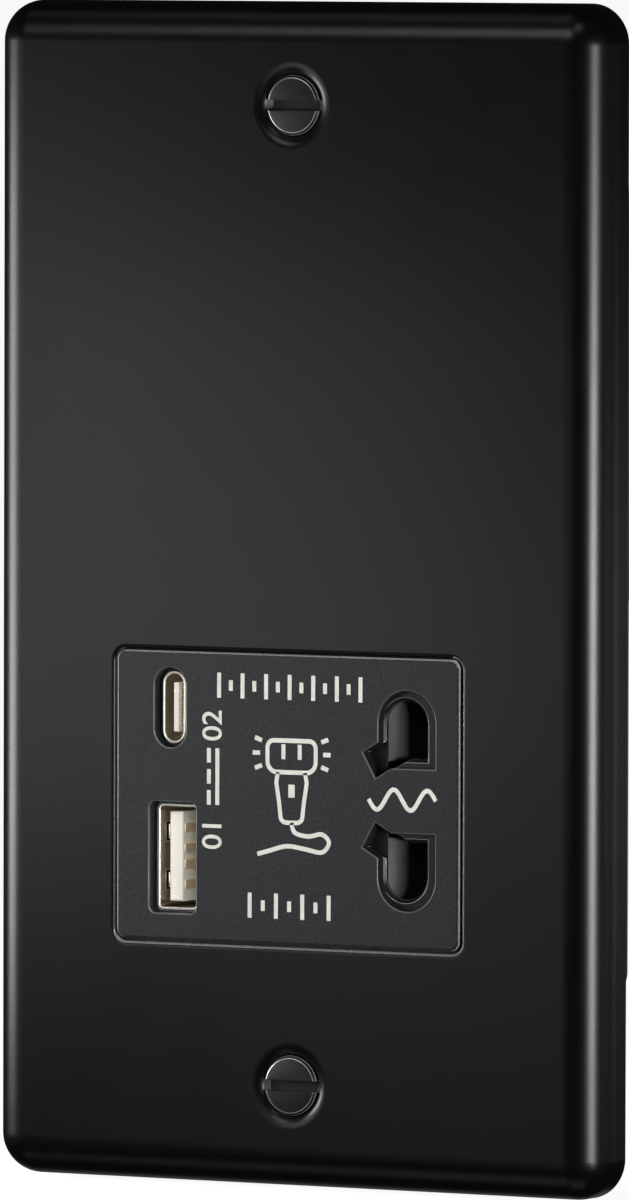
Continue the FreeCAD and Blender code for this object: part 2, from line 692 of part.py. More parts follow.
def make_rear_housing():
    """Stepped tub with a flange, bosses, core pillars, side ribs and board rails."""
    half_h = HOUSING_H / 2
    tub = rounded_block(0, 0, HOUSING_W, HOUSING_H, HOUSING_CORNER_R, COVER_BACK_Y, HOUSING_DEEP_Y)
    step = box(-HOUSING_W, HOUSING_W, HOUSING_SHALLOW_Y, HOUSING_DEEP_Y + PAST, -HOUSING_H, HOUSING_STEP_Z)
    tub = tub.cut(step)
    back = edges_at_y(tub, HOUSING_DEEP_Y) + edges_at_y(tub, HOUSING_SHALLOW_Y)
    shallow_top = [e for e in back if all(abs(v.Point.z - HOUSING_STEP_Z) < 1e-6 for v in e.Vertexes)
                   and abs(e.Vertexes[0].Point.y - HOUSING_SHALLOW_Y) < 1e-6]
    inside_corner = {e.hashCode() for e in shallow_top}
    tub = tub.makeChamfer(HOUSING_BACK_EDGE, [e for e in back if e.hashCode() not in inside_corner])
    wall = HOUSING_WALL
    inner_w = HOUSING_W - 2 * wall
    inner_h = HOUSING_H - 2 * wall
    inner_r = HOUSING_CORNER_R - wall
    hollow = rounded_block(0, 0, inner_w, inner_h, inner_r, COVER_BACK_Y - PAST, HOUSING_SHALLOW_Y - wall)
    deep_low = HOUSING_STEP_Z + wall
    deep_high = half_h - wall
    deep = rounded_block(0, (deep_low + deep_high) / 2, inner_w, deep_high - deep_low, inner_r,
                         COVER_BACK_Y - PAST, HOUSING_DEEP_Y - wall)
    flange = ear_flange(COVER_BACK_Y, FLANGE_BACK_Y)
    housing = tub.fuse(flange).cut(hollow.fuse(deep))
    inside = []
    reach_y = HOUSING_SHALLOW_Y - wall
    half_boss = COVER_BOSS_W / 2
    for x, z in boss_places():
        end = COVER_BACK_Y + COVER_BOSS_L
        side = math.copysign(1, x)
        limits = sorted((x - side * half_boss, side * inner_w / 2))
        inside.append(box(limits[0], limits[1], COVER_BACK_Y, end, z - half_boss, z + half_boss))
    core_back = CORE_Y + CORE_STACK / 2
    inside += [pillar(x, z, core_back, HOUSING_DEEP_Y - wall) for x, z in cradle_places()]
    rib_in = CORE_W / 2 + HOUSING_RIB_CLEAR
    for side in (-1, 1):
        limits = sorted((side * rib_in, side * inner_w / 2))
        for z in (CORE_Z - HOUSING_RIB_OFFSET, CORE_Z + HOUSING_RIB_OFFSET):
            inside.append(box(limits[0], limits[1], FLANGE_BACK_Y, core_back, z - wall / 2, z + wall / 2))
    inside.append(box(-half_boss, half_boss, reach_y - BLOCK_BOSS_L, reach_y,
                      TERMINAL_Z - half_boss, TERMINAL_Z + half_boss))
    inside += board_rails(reach_y)
    housing = housing.multiFuse(inside)
    for x, z in ear_places():
        housing = housing.cut(cylinder_y(x, z, MODULE_SCREW_R + HOLE_CLEAR, COVER_BACK_Y - PAST,
                                         FLANGE_BACK_Y + PAST))
    for x, z in boss_places():
        housing = housing.cut(cylinder_y(x, z, COVER_SCREW_R + THREAD_CLEAR, COVER_BACK_Y - PAST,
                                         COVER_Y + COVER_SCREW_L + HOLE_CLEAR))
    housing = housing.cut(block_screw(THREAD_CLEAR))
    return one_solid(housing.removeSplitter())


def board_rails(back_y):
    """Two grooved rails on the housing's floor and roof that hold the charger board's edges."""
    rails = []
    low, high = BOARD_Z - BOARD_H / 2, BOARD_Z + BOARD_H / 2
    for edge, inward in ((low, 1), (high, -1)):
        z = sorted((edge - inward * 2 * HOLE_CLEAR, edge + inward * BOARD_RAIL))
        rail = box(BOARD_LEFT - BOARD_RAIL, BOARD_RIGHT + BOARD_RAIL, BOARD_BACK - 2 * BOARD_RAIL, back_y,
                   z[0], z[1])
        groove = box(BOARD_LEFT - HOLE_CLEAR, BOARD_RIGHT + HOLE_CLEAR, BOARD_BACK - 3 * BOARD_RAIL,
                     BOARD_BACK + HOLE_CLEAR, z[0] - PAST, z[1] + PAST)
        rails.append(rail.cut(groove))
    return rails


def ramp_profile(z0, z1):
    """One wedge of the shutter between two heights: thick at the left, thin at the right."""
    points = [V(RAMP_X, SHUTTER_Y, z0), V(SHUTTER_RIGHT, SHUTTER_BACK_Y - SHUTTER_TIP_T, z0),
              V(SHUTTER_RIGHT, SHUTTER_BACK_Y, z0), V(RAMP_X, SHUTTER_BACK_Y, z0)]
    return Part.Face(Part.makePolygon(points + points[:1])).extrude(V(0, 0, z1 - z0))


def make_shutter():
    """Sliding shutter: a bar with one wedge behind each opening and a sloping top edge."""
    top = cam_z(SHUTTER_RIGHT) + PAST
    flat = INNER_FLAT - SHUTTER_OVERLAP
    bar = box(SHUTTER_LEFT, RAMP_X, SHUTTER_Y, SHUTTER_BACK_Y, SHUTTER_BOTTOM, top)
    upper = ramp_profile(PIN_MID_Z + flat, top)
    lower = ramp_profile(SHUTTER_BOTTOM, PIN_MID_Z - flat)
    shutter = bar.multiFuse([upper, lower])
    left, right, front = SHUTTER_LEFT - PAST, SHUTTER_RIGHT + PAST, SHUTTER_Y - PAST
    above = [V(left, front, cam_z(left)), V(right, front, cam_z(right)), V(right, front, top + PAST),
             V(left, front, top + PAST)]
    depth = SHUTTER_BACK_Y - SHUTTER_Y + 2 * PAST
    trim = Part.Face(Part.makePolygon(above + above[:1])).extrude(V(0, depth, 0))
    return one_solid(shutter.cut(trim).removeSplitter())


def spring_y():
    """Centre of the return spring along Y, midway through the shutter's bar."""
    return (SHUTTER_Y + SHUTTER_BACK_Y) / 2


def make_shutter_spring():
    """Folded strip spring between the chamber's end wall and the shutter."""
    x0 = CHAMBER_LEFT + SPRING_SEAT_GAP + SPRING_T
    x1 = SHUTTER_LEFT - SPRING_SEAT_GAP - SPRING_T
    pitch = (x1 - x0) / SPRING_FOLDS
    middle = [V(x0, 0, PIN_MID_Z - SPRING_HALF_H)]
    for i in range(SPRING_FOLDS + 1):
        side = 1 if i % 2 == 0 else -1
        middle.append(V(x0 + i * pitch, 0, PIN_MID_Z + side * SPRING_HALF_H))
    return thick_path(middle, SPRING_T, spring_y() - SPRING_W / 2, spring_y() + SPRING_W / 2)


def switch_centre_y():
    """Centre of the snap switch along Y: its front touches the cover."""
    return COVER_BACK_Y + SWITCH_D / 2


def switch_bottom_z():
    """Underside of the snap switch, resting on the chamber's roof."""
    return CHAMBER_TOP + CHAMBER_WALL


def plunger_tip_z():
    """Lowest point of the plunger, just clear of the shutter's sloping edge."""
    return cam_z(PLUNGER_X + PLUNGER_TIP_R) + PLUNGER_TIP_CLEAR


def make_switch_body():
    """Snap switch with a blind hole for its plunger and three tags."""
    z0 = switch_bottom_z()
    y0 = COVER_BACK_Y
    x1 = SWITCH_LEFT + SWITCH_W
    body = box(SWITCH_LEFT, x1, y0, y0 + SWITCH_D, z0, z0 + SWITCH_H)
    upright = [e for e in body.Edges if abs(e.tangentAt(e.FirstParameter).dot(AXIS_Y)) > 0.99]
    body = body.makeFillet(SWITCH_TAG_T, upright)
    hole_top = z0 + PLUNGER_HOLD + SHUTTER_CAM_RISE + SWITCH_TAG_T
    hole = cylinder_z(PLUNGER_X, switch_centre_y(), PLUNGER_R + PLUNGER_CLEAR, z0 - PAST, hole_top)
    tags = []
    for i in (-1, 0, 1):
        x = SWITCH_LEFT + SWITCH_W / 2 + i * SWITCH_TAG_PITCH
        half = SWITCH_TAG_T / 2
        tags.append(box(x - half, x + half, y0 + SWITCH_D, y0 + SWITCH_D + SWITCH_TAG_L,
                        z0 + SWITCH_H / 2 - SWITCH_TAG_W / 2, z0 + SWITCH_H / 2 + SWITCH_TAG_W / 2))
    return one_solid(body.cut(hole).multiFuse(tags))


def make_switch_plunger():
    """Plunger with a tapered tip that stands on the shutter's sloping edge."""
    y = switch_centre_y()
    tip = plunger_tip_z()
    top = switch_bottom_z() + PLUNGER_HOLD
    rod = cylinder_z(PLUNGER_X, y, PLUNGER_R, tip + PLUNGER_R, top)
    cone = Part.makeCone(PLUNGER_TIP_R, PLUNGER_R, PLUNGER_R, V(PLUNGER_X, y, tip), AXIS_Z)
    return one_solid(rod.fuse(cone))


def carrier_block_limits():
    """Left and right side of the carrier's deep part."""
    half = POCKET_W / 2 + CARRIER_SIDE
    return INNER_X - half, INNER_X + half


def make_contact_carrier():
    """Carrier behind the shutter, with one deep pocket for each contact."""
    x0, x1 = carrier_block_limits()
    back = CARRIER_Y + CARRIER_DEPTH
    reach = POCKET_OUTER + CARRIER_EDGE
    plate = box(CHAMBER_LEFT - CHAMBER_WALL, CHAMBER_RIGHT + CHAMBER_WALL, CARRIER_Y, CARRIER_Y + CARRIER_T,
                CHAMBER_BOTTOM - CHAMBER_WALL, CHAMBER_TOP + CHAMBER_WALL)
    block = box(x0, x1, CARRIER_Y, back, PIN_MID_Z - reach, PIN_MID_Z + reach)
    pocket = box(INNER_X - POCKET_W / 2, INNER_X + POCKET_W / 2, CARRIER_Y - PAST, back - CARRIER_FLOOR,
                 PIN_MID_Z + POCKET_INNER, PIN_MID_Z + POCKET_OUTER)
    tail_z = PIN_MID_Z + contact_base_z()
    half_t = STRIP_T / 2 + TAIL_CLEAR
    half_w = TAIL_W / 2 + TAIL_CLEAR
    slit = box(INNER_X - half_w, INNER_X + half_w, back - CARRIER_FLOOR - PAST, back + PAST,
               tail_z - half_t, tail_z + half_t)
    slant = slant_shape(CARRIER_Y - PAST, back - CARRIER_FLOOR)
    upper = pocket.multiFuse([slit, slant])
    between = box(x0 + CARRIER_SIDE, x1 - CARRIER_SIDE, CARRIER_Y + CARRIER_T + CARRIER_FLOOR, back + PAST,
                  PIN_MID_Z - POCKET_INNER + CARRIER_EDGE, PIN_MID_Z + POCKET_INNER - CARRIER_EDGE)
    carrier = plate.fuse(block).cut(both_openings(upper)).cut(between)
    return one_solid(carrier.removeSplitter())


def contact_base_z():
    """Height above the middle of the contact's base, where its tail leaves."""
    return (POCKET_INNER + POCKET_OUTER) / 2


def make_shaver_contact():
    """Upper contact: two sprung leaves that nip a pin, joined by a base with a tail."""
    front = CARRIER_Y + CONTACT_FRONT_GAP
    base = CARRIER_Y + CARRIER_DEPTH - CARRIER_FLOOR - STRIP_T / 2
    nip_y = front + CONTACT_NIP_DEPTH
    foot = base - CONTACT_FOOT
    half = STRIP_T / 2
    inner = POCKET_INNER + half
    outer = POCKET_OUTER - half
    low_nip = CONTACT_NIP_AT - CONTACT_NIP / 2 - half
    high_nip = CONTACT_NIP_AT + CONTACT_NIP / 2 + half
    leaf = [(front, inner), (nip_y, low_nip), (foot, inner), (base, inner),
            (base, outer), (foot, outer), (nip_y, high_nip), (front, outer)]
    points = [(y, PIN_MID_Z + z) for y, z in leaf]
    x0, x1 = INNER_X - CONTACT_W / 2, INNER_X + CONTACT_W / 2
    strip = bent_strip(points, STRIP_T, x0, x1)
    tail_z = PIN_MID_Z + contact_base_z()
    tail = box(INNER_X - TAIL_W / 2, INNER_X + TAIL_W / 2, base, base + CARRIER_FLOOR + TAIL_L,
               tail_z - half, tail_z + half)
    return one_solid(strip.fuse(tail).removeSplitter())


def make_transformer_core():
    """Laminated core with two windows, as one block."""
    y0, y1 = CORE_Y - CORE_STACK / 2, CORE_Y + CORE_STACK / 2
    core = box(-CORE_W / 2, CORE_W / 2, y0, y1, CORE_Z - CORE_H / 2, CORE_Z + CORE_H / 2)
    half_window = CORE_H / 2 - CORE_LEG
    outer = CORE_W / 2 - CORE_LEG
    for side in (-1, 1):
        limits = sorted((side * CORE_LEG, side * outer))
        core = core.cut(box(limits[0], limits[1], y0 - PAST, y1 + PAST,
                            CORE_Z - half_window, CORE_Z + half_window))
    return one_solid(core)


def coil_ring(inner_x, inner_y, outer_x, outer_y, r, z0, z1):
    """Rectangular ring about the core's middle leg, with rounded outer corners."""
    outer = Part.makeBox(2 * outer_x, 2 * outer_y, z1 - z0, V(-outer_x, CORE_Y - outer_y, z0))
    if r > 0:
        upright = [e for e in outer.Edges if abs(e.tangentAt(e.FirstParameter).dot(AXIS_Z)) > 0.99]
        outer = outer.makeFillet(r, upright)
    inner = box(-inner_x, inner_x, CORE_Y - inner_y, CORE_Y + inner_y, z0 - PAST, z1 + PAST)
    return outer.cut(inner)


def bobbin_sizes():
    """Half sizes of the bobbin's bore, its tube and its flanges, and half its height."""
    bore_x = CORE_LEG + BOBBIN_CLEAR
    bore_y = CORE_STACK / 2 + BOBBIN_CLEAR
    flange_x = CORE_W / 2 - CORE_LEG - BOBBIN_CLEAR
    half_h = CORE_H / 2 - CORE_LEG - BOBBIN_CLEAR
    return bore_x, bore_y, flange_x, half_h


def make_transformer_bobbin():
    """Split bobbin: a tube with three flanges that keep the two windings apart."""
    bore_x, bore_y, flange_x, half_h = bobbin_sizes()
    flange_y = bore_y + BOBBIN_T + WINDING_DEPTH
    tube = coil_ring(bore_x, bore_y, bore_x + BOBBIN_T, bore_y + BOBBIN_T, 0,
                     CORE_Z - half_h, CORE_Z + half_h)
    flanges = []
    for z in (CORE_Z - half_h, CORE_Z - BOBBIN_T / 2, CORE_Z + half_h - BOBBIN_T):
        flanges.append(coil_ring(bore_x, bore_y, flange_x, flange_y, 0, z, z + BOBBIN_T))
    return one_solid(tube.multiFuse(flanges).removeSplitter())


def make_winding(side):
    """One winding: the primary with side -1 below the middle flange, the secondary with side 1 above."""
    bore_x, bore_y, flange_x, half_h = bobbin_sizes()
    near = BOBBIN_T / 2
    far = half_h - BOBBIN_T
    levels = sorted((CORE_Z + side * near, CORE_Z + side * far))
    depth = bore_y + BOBBIN_T + WINDING_DEPTH - WINDING_INSET
    return coil_ring(bore_x + BOBBIN_T, bore_y + BOBBIN_T, flange_x - WINDING_INSET, depth,
                     WINDING_CORNER_R, levels[0], levels[1])


def make_thermal_cutout():
    """Flat thermal cut-out taped against the front of the primary winding."""
    bore_y = bobbin_sizes()[1]
    y0 = CORE_Y - bore_y - BOBBIN_T - WINDING_DEPTH + WINDING_INSET
    z = CORE_Z - (BOBBIN_T / 2 + bobbin_sizes()[3] - BOBBIN_T) / 2
    return rounded_block(0, z, THERMAL_L, THERMAL_W, THERMAL_T, y0 - THERMAL_T, y0)


def block_screw(grow):
    """Screw that holds the terminal block to the housing, or with grow its hole."""
    head_y = HOUSING_SHALLOW_Y + BLOCK_D - CLAMP_SCREW_HEAD_T
    end = head_y - BLOCK_SCREW_L
    r = COVER_SCREW_R + grow
    head = COVER_SCREW_HEAD_R + grow
    return turned([(0, end - grow), (r, end - grow), (r, head_y), (head, head_y),
                   (head, head_y + CLAMP_SCREW_HEAD_T), (0, head_y + CLAMP_SCREW_HEAD_T)], 0, TERMINAL_Z)


def make_block_screw():
    """Cross-recess screw in the middle of the terminal block."""
    seat = HOUSING_SHALLOW_Y + BLOCK_D - CLAMP_SCREW_HEAD_T
    return headed_screw(0, TERMINAL_Z, COVER_SCREW_R, COVER_SCREW_HEAD_R, CLAMP_SCREW_HEAD_T,
                        seat - BLOCK_SCREW_L, seat, "cross")


def clamp_front_y():
    """Front face of the brass clamps inside the terminal block."""
    return HOUSING_SHALLOW_Y + CLAMP_FLOOR + CLAMP_CLEAR


def wire_y():
    """Centre of the wire bores along Y."""
    return clamp_front_y() + CLAMP_FLOOR + WIRE_R


def make_terminal_block():
    """Two-way block: pockets for the clamps, wire mouths below and screw shafts at the back."""
    y0, y1 = HOUSING_SHALLOW_Y, HOUSING_SHALLOW_Y + BLOCK_D
    z0, z1 = TERMINAL_Z - BLOCK_H / 2, TERMINAL_Z + BLOCK_H / 2
    block = box(-BLOCK_W / 2, BLOCK_W / 2, y0, y1, z0, z1)
    outer = [e for e in block.Edges if abs(e.tangentAt(e.FirstParameter).dot(AXIS_Y)) > 0.99]
    block = block.makeChamfer(HOUSING_BACK_EDGE, outer)
    for x in (-TERMINAL_X, TERMINAL_X):
        half = CLAMP_W / 2 + CLAMP_CLEAR
        low = TERMINAL_Z - CLAMP_H / 2 - CLAMP_CLEAR
        high = TERMINAL_Z + CLAMP_H / 2 + CLAMP_CLEAR
        block = block.cut(box(x - half, x + half, y0 + CLAMP_FLOOR, y1 + PAST, low, high))
        block = block.cut(cylinder_z(x, wire_y(), WIRE_MOUTH_R, z0 - PAST, low + PAST))
    return one_solid(block.cut(block_screw(HOLE_CLEAR)).removeSplitter())


def make_terminal_clamps():
    """Brass clamps with a wire bore from below and a threaded hole for the screw."""
    clamps = []
    y0 = clamp_front_y()
    for x in (-TERMINAL_X, TERMINAL_X):
        clamp = box(x - CLAMP_W / 2, x + CLAMP_W / 2, y0, y0 + CLAMP_D,
                    TERMINAL_Z - CLAMP_H / 2, TERMINAL_Z + CLAMP_H / 2)
        clamp = clamp.cut(cylinder_z(x, wire_y(), WIRE_R, TERMINAL_Z - CLAMP_H, TERMINAL_Z + CLAMP_H))
        clamp = clamp.cut(cylinder_y(x, TERMINAL_Z, CLAMP_SCREW_R + THREAD_CLEAR, wire_y(),
                                     y0 + CLAMP_D + PAST))
        clamps.append(clamp)
    return Part.makeCompound(clamps)


def clamp_screw(x, z, tip_y, seat_y):
    """Slotted clamp screw along Y from its tip to its head."""
    return headed_screw(x, z, CLAMP_SCREW_R, CLAMP_SCREW_HEAD_R, CLAMP_SCREW_HEAD_T, tip_y, seat_y, "slot")


def make_terminal_screws():
    """Two clamp screws, each with its tip level with the top of its wire bore."""
    tip = wire_y() + WIRE_R + THREAD_CLEAR
    seat = clamp_front_y() + CLAMP_D + THREAD_CLEAR
    return Part.makeCompound([clamp_screw(x, TERMINAL_Z, tip, seat) for x in (-TERMINAL_X, TERMINAL_X)])


def earth_wire_y():
    """Centre of the earth wire's bore along Y."""
    return SHEET_BACK_Y + EARTH_D - 2 * WIRE_R - CLAMP_FLOOR


def make_earth_terminal():
    """Brass pillar staked to the back of the plate, with a cross bore for the earth wire."""
    end = SHEET_BACK_Y + EARTH_D
    pillar_block = box(EARTH_X - EARTH_W / 2, EARTH_X + EARTH_W / 2, SHEET_BACK_Y, end,
                       EARTH_Z - EARTH_H / 2, EARTH_Z + EARTH_H / 2)
    bore = cylinder_x(earth_wire_y(), EARTH_Z, WIRE_R, EARTH_X - EARTH_W, EARTH_X + EARTH_W)
    thread = cylinder_y(EARTH_X, EARTH_Z, CLAMP_SCREW_R + THREAD_CLEAR, earth_wire_y(), end + PAST)
    return one_solid(pillar_block.cut(bore).cut(thread))


def make_earth_screw():
    """Clamp screw of the earth terminal."""
    seat = SHEET_BACK_Y + EARTH_D + THREAD_CLEAR
    return clamp_screw(EARTH_X, EARTH_Z, earth_wire_y() + WIRE_R + THREAD_CLEAR, seat)


def make_usb_a_shell():
    """Folded shell of the larger outlet, with two sprung fingers in each long side."""
    y0 = INSERT_Y + USB_A_SET_BACK
    y1 = y0 + USB_A_LENGTH
    outer = rounded_block(USB_A_X, USB_A_Z, USB_A_W, USB_A_H, USB_A_CORNER_R, y0, y1)
    inner = rounded_block(USB_A_X, USB_A_Z, USB_A_W - 2 * SHELL_T, USB_A_H - 2 * SHELL_T,
                          USB_A_CORNER_R - SHELL_T, y0 - PAST, y1 + PAST)
    shell = outer.cut(inner)
    fingers = []
    start, end = y0 + FINGER_START, y0 + FINGER_START + FINGER_LENGTH
    half_w = FINGER_W / 2
    half_t = SHELL_T / 2
    for side in (-1, 1):
        face_x = USB_A_X + side * (USB_A_W / 2 - half_t)
        tip_x = face_x - side * FINGER_BEND
        for z in (USB_A_Z - FINGER_OFFSET, USB_A_Z + FINGER_OFFSET):
            slit = half_w + FINGER_SLIT
            shell = shell.cut(box(face_x - SHELL_T, face_x + SHELL_T, start, end, z - slit, z + slit))
            tip = start + FINGER_SLIT
            points = [V(face_x - half_t, end, z - half_w), V(face_x + half_t, end, z - half_w),
                      V(tip_x + half_t, tip, z - half_w), V(tip_x - half_t, tip, z - half_w)]
            fingers.append(Part.Face(Part.makePolygon(points + points[:1])).extrude(V(0, 0, FINGER_W)))
    return one_solid(shell.multiFuse(fingers))


def make_usb_a_insulator():
    """Moulded tongue of the larger outlet with the block that closes the shell's back."""
    mouth = INSERT_Y + USB_A_SET_BACK
    y0 = mouth + TONGUE_A_SET_BACK
    y1 = y0 + TONGUE_A_LENGTH
    x0 = USB_A_X - USB_A_W / 2 + SHELL_T + TONGUE_A_WALL_GAP
    tongue = box(x0, x0 + TONGUE_A_T, y0, y1, USB_A_Z - TONGUE_A_H / 2, USB_A_Z + TONGUE_A_H / 2)
    tongue = tongue.makeFillet(TONGUE_A_EDGE_R, edges_at_y(tongue, y0))
    fit = SHELL_CLEAR / 2
    block = rounded_block(USB_A_X, USB_A_Z, USB_A_W - 2 * (SHELL_T + fit), USB_A_H - 2 * (SHELL_T + fit),
                          USB_A_CORNER_R - SHELL_T - fit, y1, mouth + USB_A_LENGTH - fit)
    return one_solid(tongue.fuse(block))


def make_usb_a_contacts():
    """Four gold contacts on the side of the tongue that faces the wide gap."""
    mouth = INSERT_Y + USB_A_SET_BACK
    y0 = mouth + TONGUE_A_SET_BACK + CONTACT_A_SET_BACK
    y1 = mouth + TONGUE_A_SET_BACK + TONGUE_A_LENGTH
    x0 = USB_A_X - USB_A_W / 2 + SHELL_T + TONGUE_A_WALL_GAP + TONGUE_A_T
    strips = []
    for offset in CONTACT_A_OFFSETS:
        for side in (-1, 1):
            z = USB_A_Z + side * offset
            strips.append(box(x0, x0 + 2 * CONTACT_PROUD, y0, y1, z - CONTACT_A_W / 2, z + CONTACT_A_W / 2))
    return Part.makeCompound(strips)


def make_usb_c_shell():
    """Seamless shell of the smaller outlet."""
    y0 = INSERT_Y + USB_C_SET_BACK
    y1 = y0 + USB_C_LENGTH
    outer = slot_block(USB_C_X, USB_C_Z, USB_C_W, USB_C_H, y0, y1)
    inner = slot_block(USB_C_X, USB_C_Z, USB_C_W - 2 * SHELL_T, USB_C_H - 2 * SHELL_T, y0 - PAST, y1 + PAST)
    return one_solid(outer.cut(inner))


def make_usb_c_insulator():
    """Moulded tongue of the smaller outlet with the block that closes the shell's back."""
    mouth = INSERT_Y + USB_C_SET_BACK
    y0 = mouth + TONGUE_C_SET_BACK
    y1 = y0 + TONGUE_C_LENGTH
    half_t = TONGUE_C_T / 2
    z0, z1 = USB_C_Z - TONGUE_C_H / 2, USB_C_Z + TONGUE_C_H / 2
    tongue = box(USB_C_X - half_t, USB_C_X + half_t, y0, y1, z0, z1)
    tongue = tongue.makeFillet(TONGUE_C_EDGE_R, edges_at_y(tongue, y0))
    fit = SHELL_CLEAR / 2
    block = slot_block(USB_C_X, USB_C_Z, USB_C_W - 2 * (SHELL_T + fit), USB_C_H - 2 * (SHELL_T + fit),
                       y1, mouth + USB_C_LENGTH + 2 * fit)
    foot_y = mouth + USB_C_LENGTH
    foot = box(USB_C_X - half_t, BOARD_LEFT, foot_y, foot_y + BOARD_T, z0, z1)
    return one_solid(tongue.multiFuse([block, foot]).removeSplitter())


def make_usb_c_contacts():
    """Rows of narrow contacts on both sides of the smaller tongue."""
    tongue_y = INSERT_Y + USB_C_SET_BACK + TONGUE_C_SET_BACK
    y0 = tongue_y + CONTACT_C_SET_BACK
    y1 = tongue_y + TONGUE_C_LENGTH
    strips = []
    for side in (-1, 1):
        limits = sorted((USB_C_X + side * TONGUE_C_T / 2, USB_C_X + side * (TONGUE_C_T / 2 + CONTACT_PROUD)))
        for i in range(CONTACT_C_COUNT):
            z = USB_C_Z + (i - (CONTACT_C_COUNT - 1) / 2) * CONTACT_C_PITCH
            strips.append(box(limits[0], limits[1], y0, y1, z - CONTACT_C_W / 2, z + CONTACT_C_W / 2))
    return Part.makeCompound(strips)


def make_usb_board():
    """Upright circuit board that carries both outlets."""
    return box(BOARD_LEFT, BOARD_RIGHT, BOARD_FRONT, BOARD_BACK, BOARD_Z - BOARD_H / 2, BOARD_Z + BOARD_H / 2)


def make_board_coil():
    """Wound coil of the charger, a block with a bite out of its front at the top and the bottom."""
    x0 = HOUSING_WALL - HOUSING_W / 2 + COIL_ROOM
    y1 = BOARD_BACK - 2 * BOARD_RAIL
    y0 = y1 - COIL_D
    z = BOARD_Z + BOARD_H / 2 - COIL_INSET - COIL_H / 2
    core = box(x0, BOARD_LEFT, y0, y1, z - COIL_H / 2, z + COIL_H / 2)
    for side in (-1, 1):
        limits = sorted((z + side * COIL_BITE, z + side * COIL_H))
        core = core.cut(box(x0 + COIL_BITE, BOARD_LEFT - COIL_BITE, y0 - PAST, y0 + COIL_BITE / 2,
                            limits[0], limits[1]))
    return one_solid(core)


def make_board_capacitors():
    """Two round can capacitors lying against the board."""
    y = BOARD_BACK - CAN_R - 2 * BOARD_RAIL
    reach = CAN_R + CAN_GAP / 2
    x0 = HOUSING_WALL - HOUSING_W / 2 + CAN_ROOM
    return Part.makeCompound([cylinder_x(y, z, CAN_R, x0, BOARD_LEFT)
                              for z in (USB_A_Z + reach, USB_A_Z - reach)])


def make_board_chips():
    """Two flat control chips on the board's other side."""
    y = BOARD_BACK - CHIP_D - 3 * BOARD_RAIL
    x1 = BOARD_RIGHT + CHIP_T
    return Part.makeCompound([box(BOARD_RIGHT, x1, y, y + CHIP_D, z - CHIP_W / 2, z + CHIP_W / 2)
                              for z in (USB_C_Z, USB_A_Z)])


def build_nodes():
    """All nodes by name."""
    upper_contact = make_shaver_contact()
    return {
        "front_plate": make_front_plate(),
        "fixing_screws": make_fixing_screws(),
        "front_insert": make_front_insert(),
        "module_cover": make_module_cover(),
        "cover_screws": make_cover_screws(),
        "plate_bushes": make_plate_bushes(),
        "module_screws": make_module_screws(),
        "rear_housing": make_rear_housing(),
        "shutter": make_shutter(),
        "shutter_spring": make_shutter_spring(),
        "switch_body": make_switch_body(),
        "switch_plunger": make_switch_plunger(),
        "contact_carrier": make_contact_carrier(),
        "upper_contact": upper_contact,
        "lower_contact": mirrored_z(upper_contact, PIN_MID_Z),
        "transformer_core": make_transformer_core(),
        "transformer_bobbin": make_transformer_bobbin(),
        "primary_winding": make_winding(-1),
        "secondary_winding": make_winding(1),
        "thermal_cutout": make_thermal_cutout(),
        "terminal_block": make_terminal_block(),
        "terminal_clamps": make_terminal_clamps(),
        "terminal_screws": make_terminal_screws(),
        "block_screw": make_block_screw(),
        "earth_terminal": make_earth_terminal(),
        "earth_screw": make_earth_screw(),
        "usb_a_shell": make_usb_a_shell(),
        "usb_a_insulator": make_usb_a_insulator(),
        "usb_a_contacts": make_usb_a_contacts(),
        "usb_c_shell": make_usb_c_shell(),
        "usb_c_insulator": make_usb_c_insulator(),
        "usb_c_contacts": make_usb_c_contacts(),
        "usb_board": make_usb_board(),
        "board_coil": make_board_coil(),
        "board_capacitors": make_board_capacitors(),
        "board_chips": make_board_chips(),
    }


def main():
    """Build every node and write one STEP file for each."""
    os.makedirs("parts", exist_ok=True)
    for name, shape in build_nodes().items():
        if not shape.isValid():
            raise ValueError(name + " is not a valid solid")
        shape.exportStep(os.path.join("parts", name + ".step"))
        print(name, len(shape.Solids), round(shape.Volume, 1))


main()
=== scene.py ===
import json
import math

import bmesh
import bpy
from mathutils import Matrix, Vector


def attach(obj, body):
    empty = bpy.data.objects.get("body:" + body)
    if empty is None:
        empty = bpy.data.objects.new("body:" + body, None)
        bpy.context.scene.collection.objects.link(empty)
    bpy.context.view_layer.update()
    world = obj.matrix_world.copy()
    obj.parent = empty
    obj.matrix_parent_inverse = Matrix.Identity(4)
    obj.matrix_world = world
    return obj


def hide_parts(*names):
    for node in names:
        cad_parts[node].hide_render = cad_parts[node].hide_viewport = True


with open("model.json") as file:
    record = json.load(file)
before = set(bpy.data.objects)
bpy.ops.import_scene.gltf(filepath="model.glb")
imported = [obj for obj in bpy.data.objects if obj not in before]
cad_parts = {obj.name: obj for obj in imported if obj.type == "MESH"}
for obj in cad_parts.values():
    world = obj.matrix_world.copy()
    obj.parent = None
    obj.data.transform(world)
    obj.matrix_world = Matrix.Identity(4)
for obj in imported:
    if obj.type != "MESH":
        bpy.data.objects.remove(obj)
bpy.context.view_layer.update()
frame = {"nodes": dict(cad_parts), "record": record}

# Lengths are millimetres in the frame of the CAD model, unless a comment says metres, and become metres where
# a mesh is made. Angles are degrees. A sharp corner has a tiny radius, and a cutter runs clear of what it
# cuts.
MM = 0.001
UNIT = "unit"
SHARP_R = 0.01
AXIS_R = 0.001
CLEAR = 1.0
CORNER_STEPS = 16
EDGE_STEPS = 8
TURN_STEPS = 96

# Directions in the plane of the front, as x and z
RIGHT = (1.0, 0.0)
LEFT = (-1.0, 0.0)
UP = (0.0, 1.0)


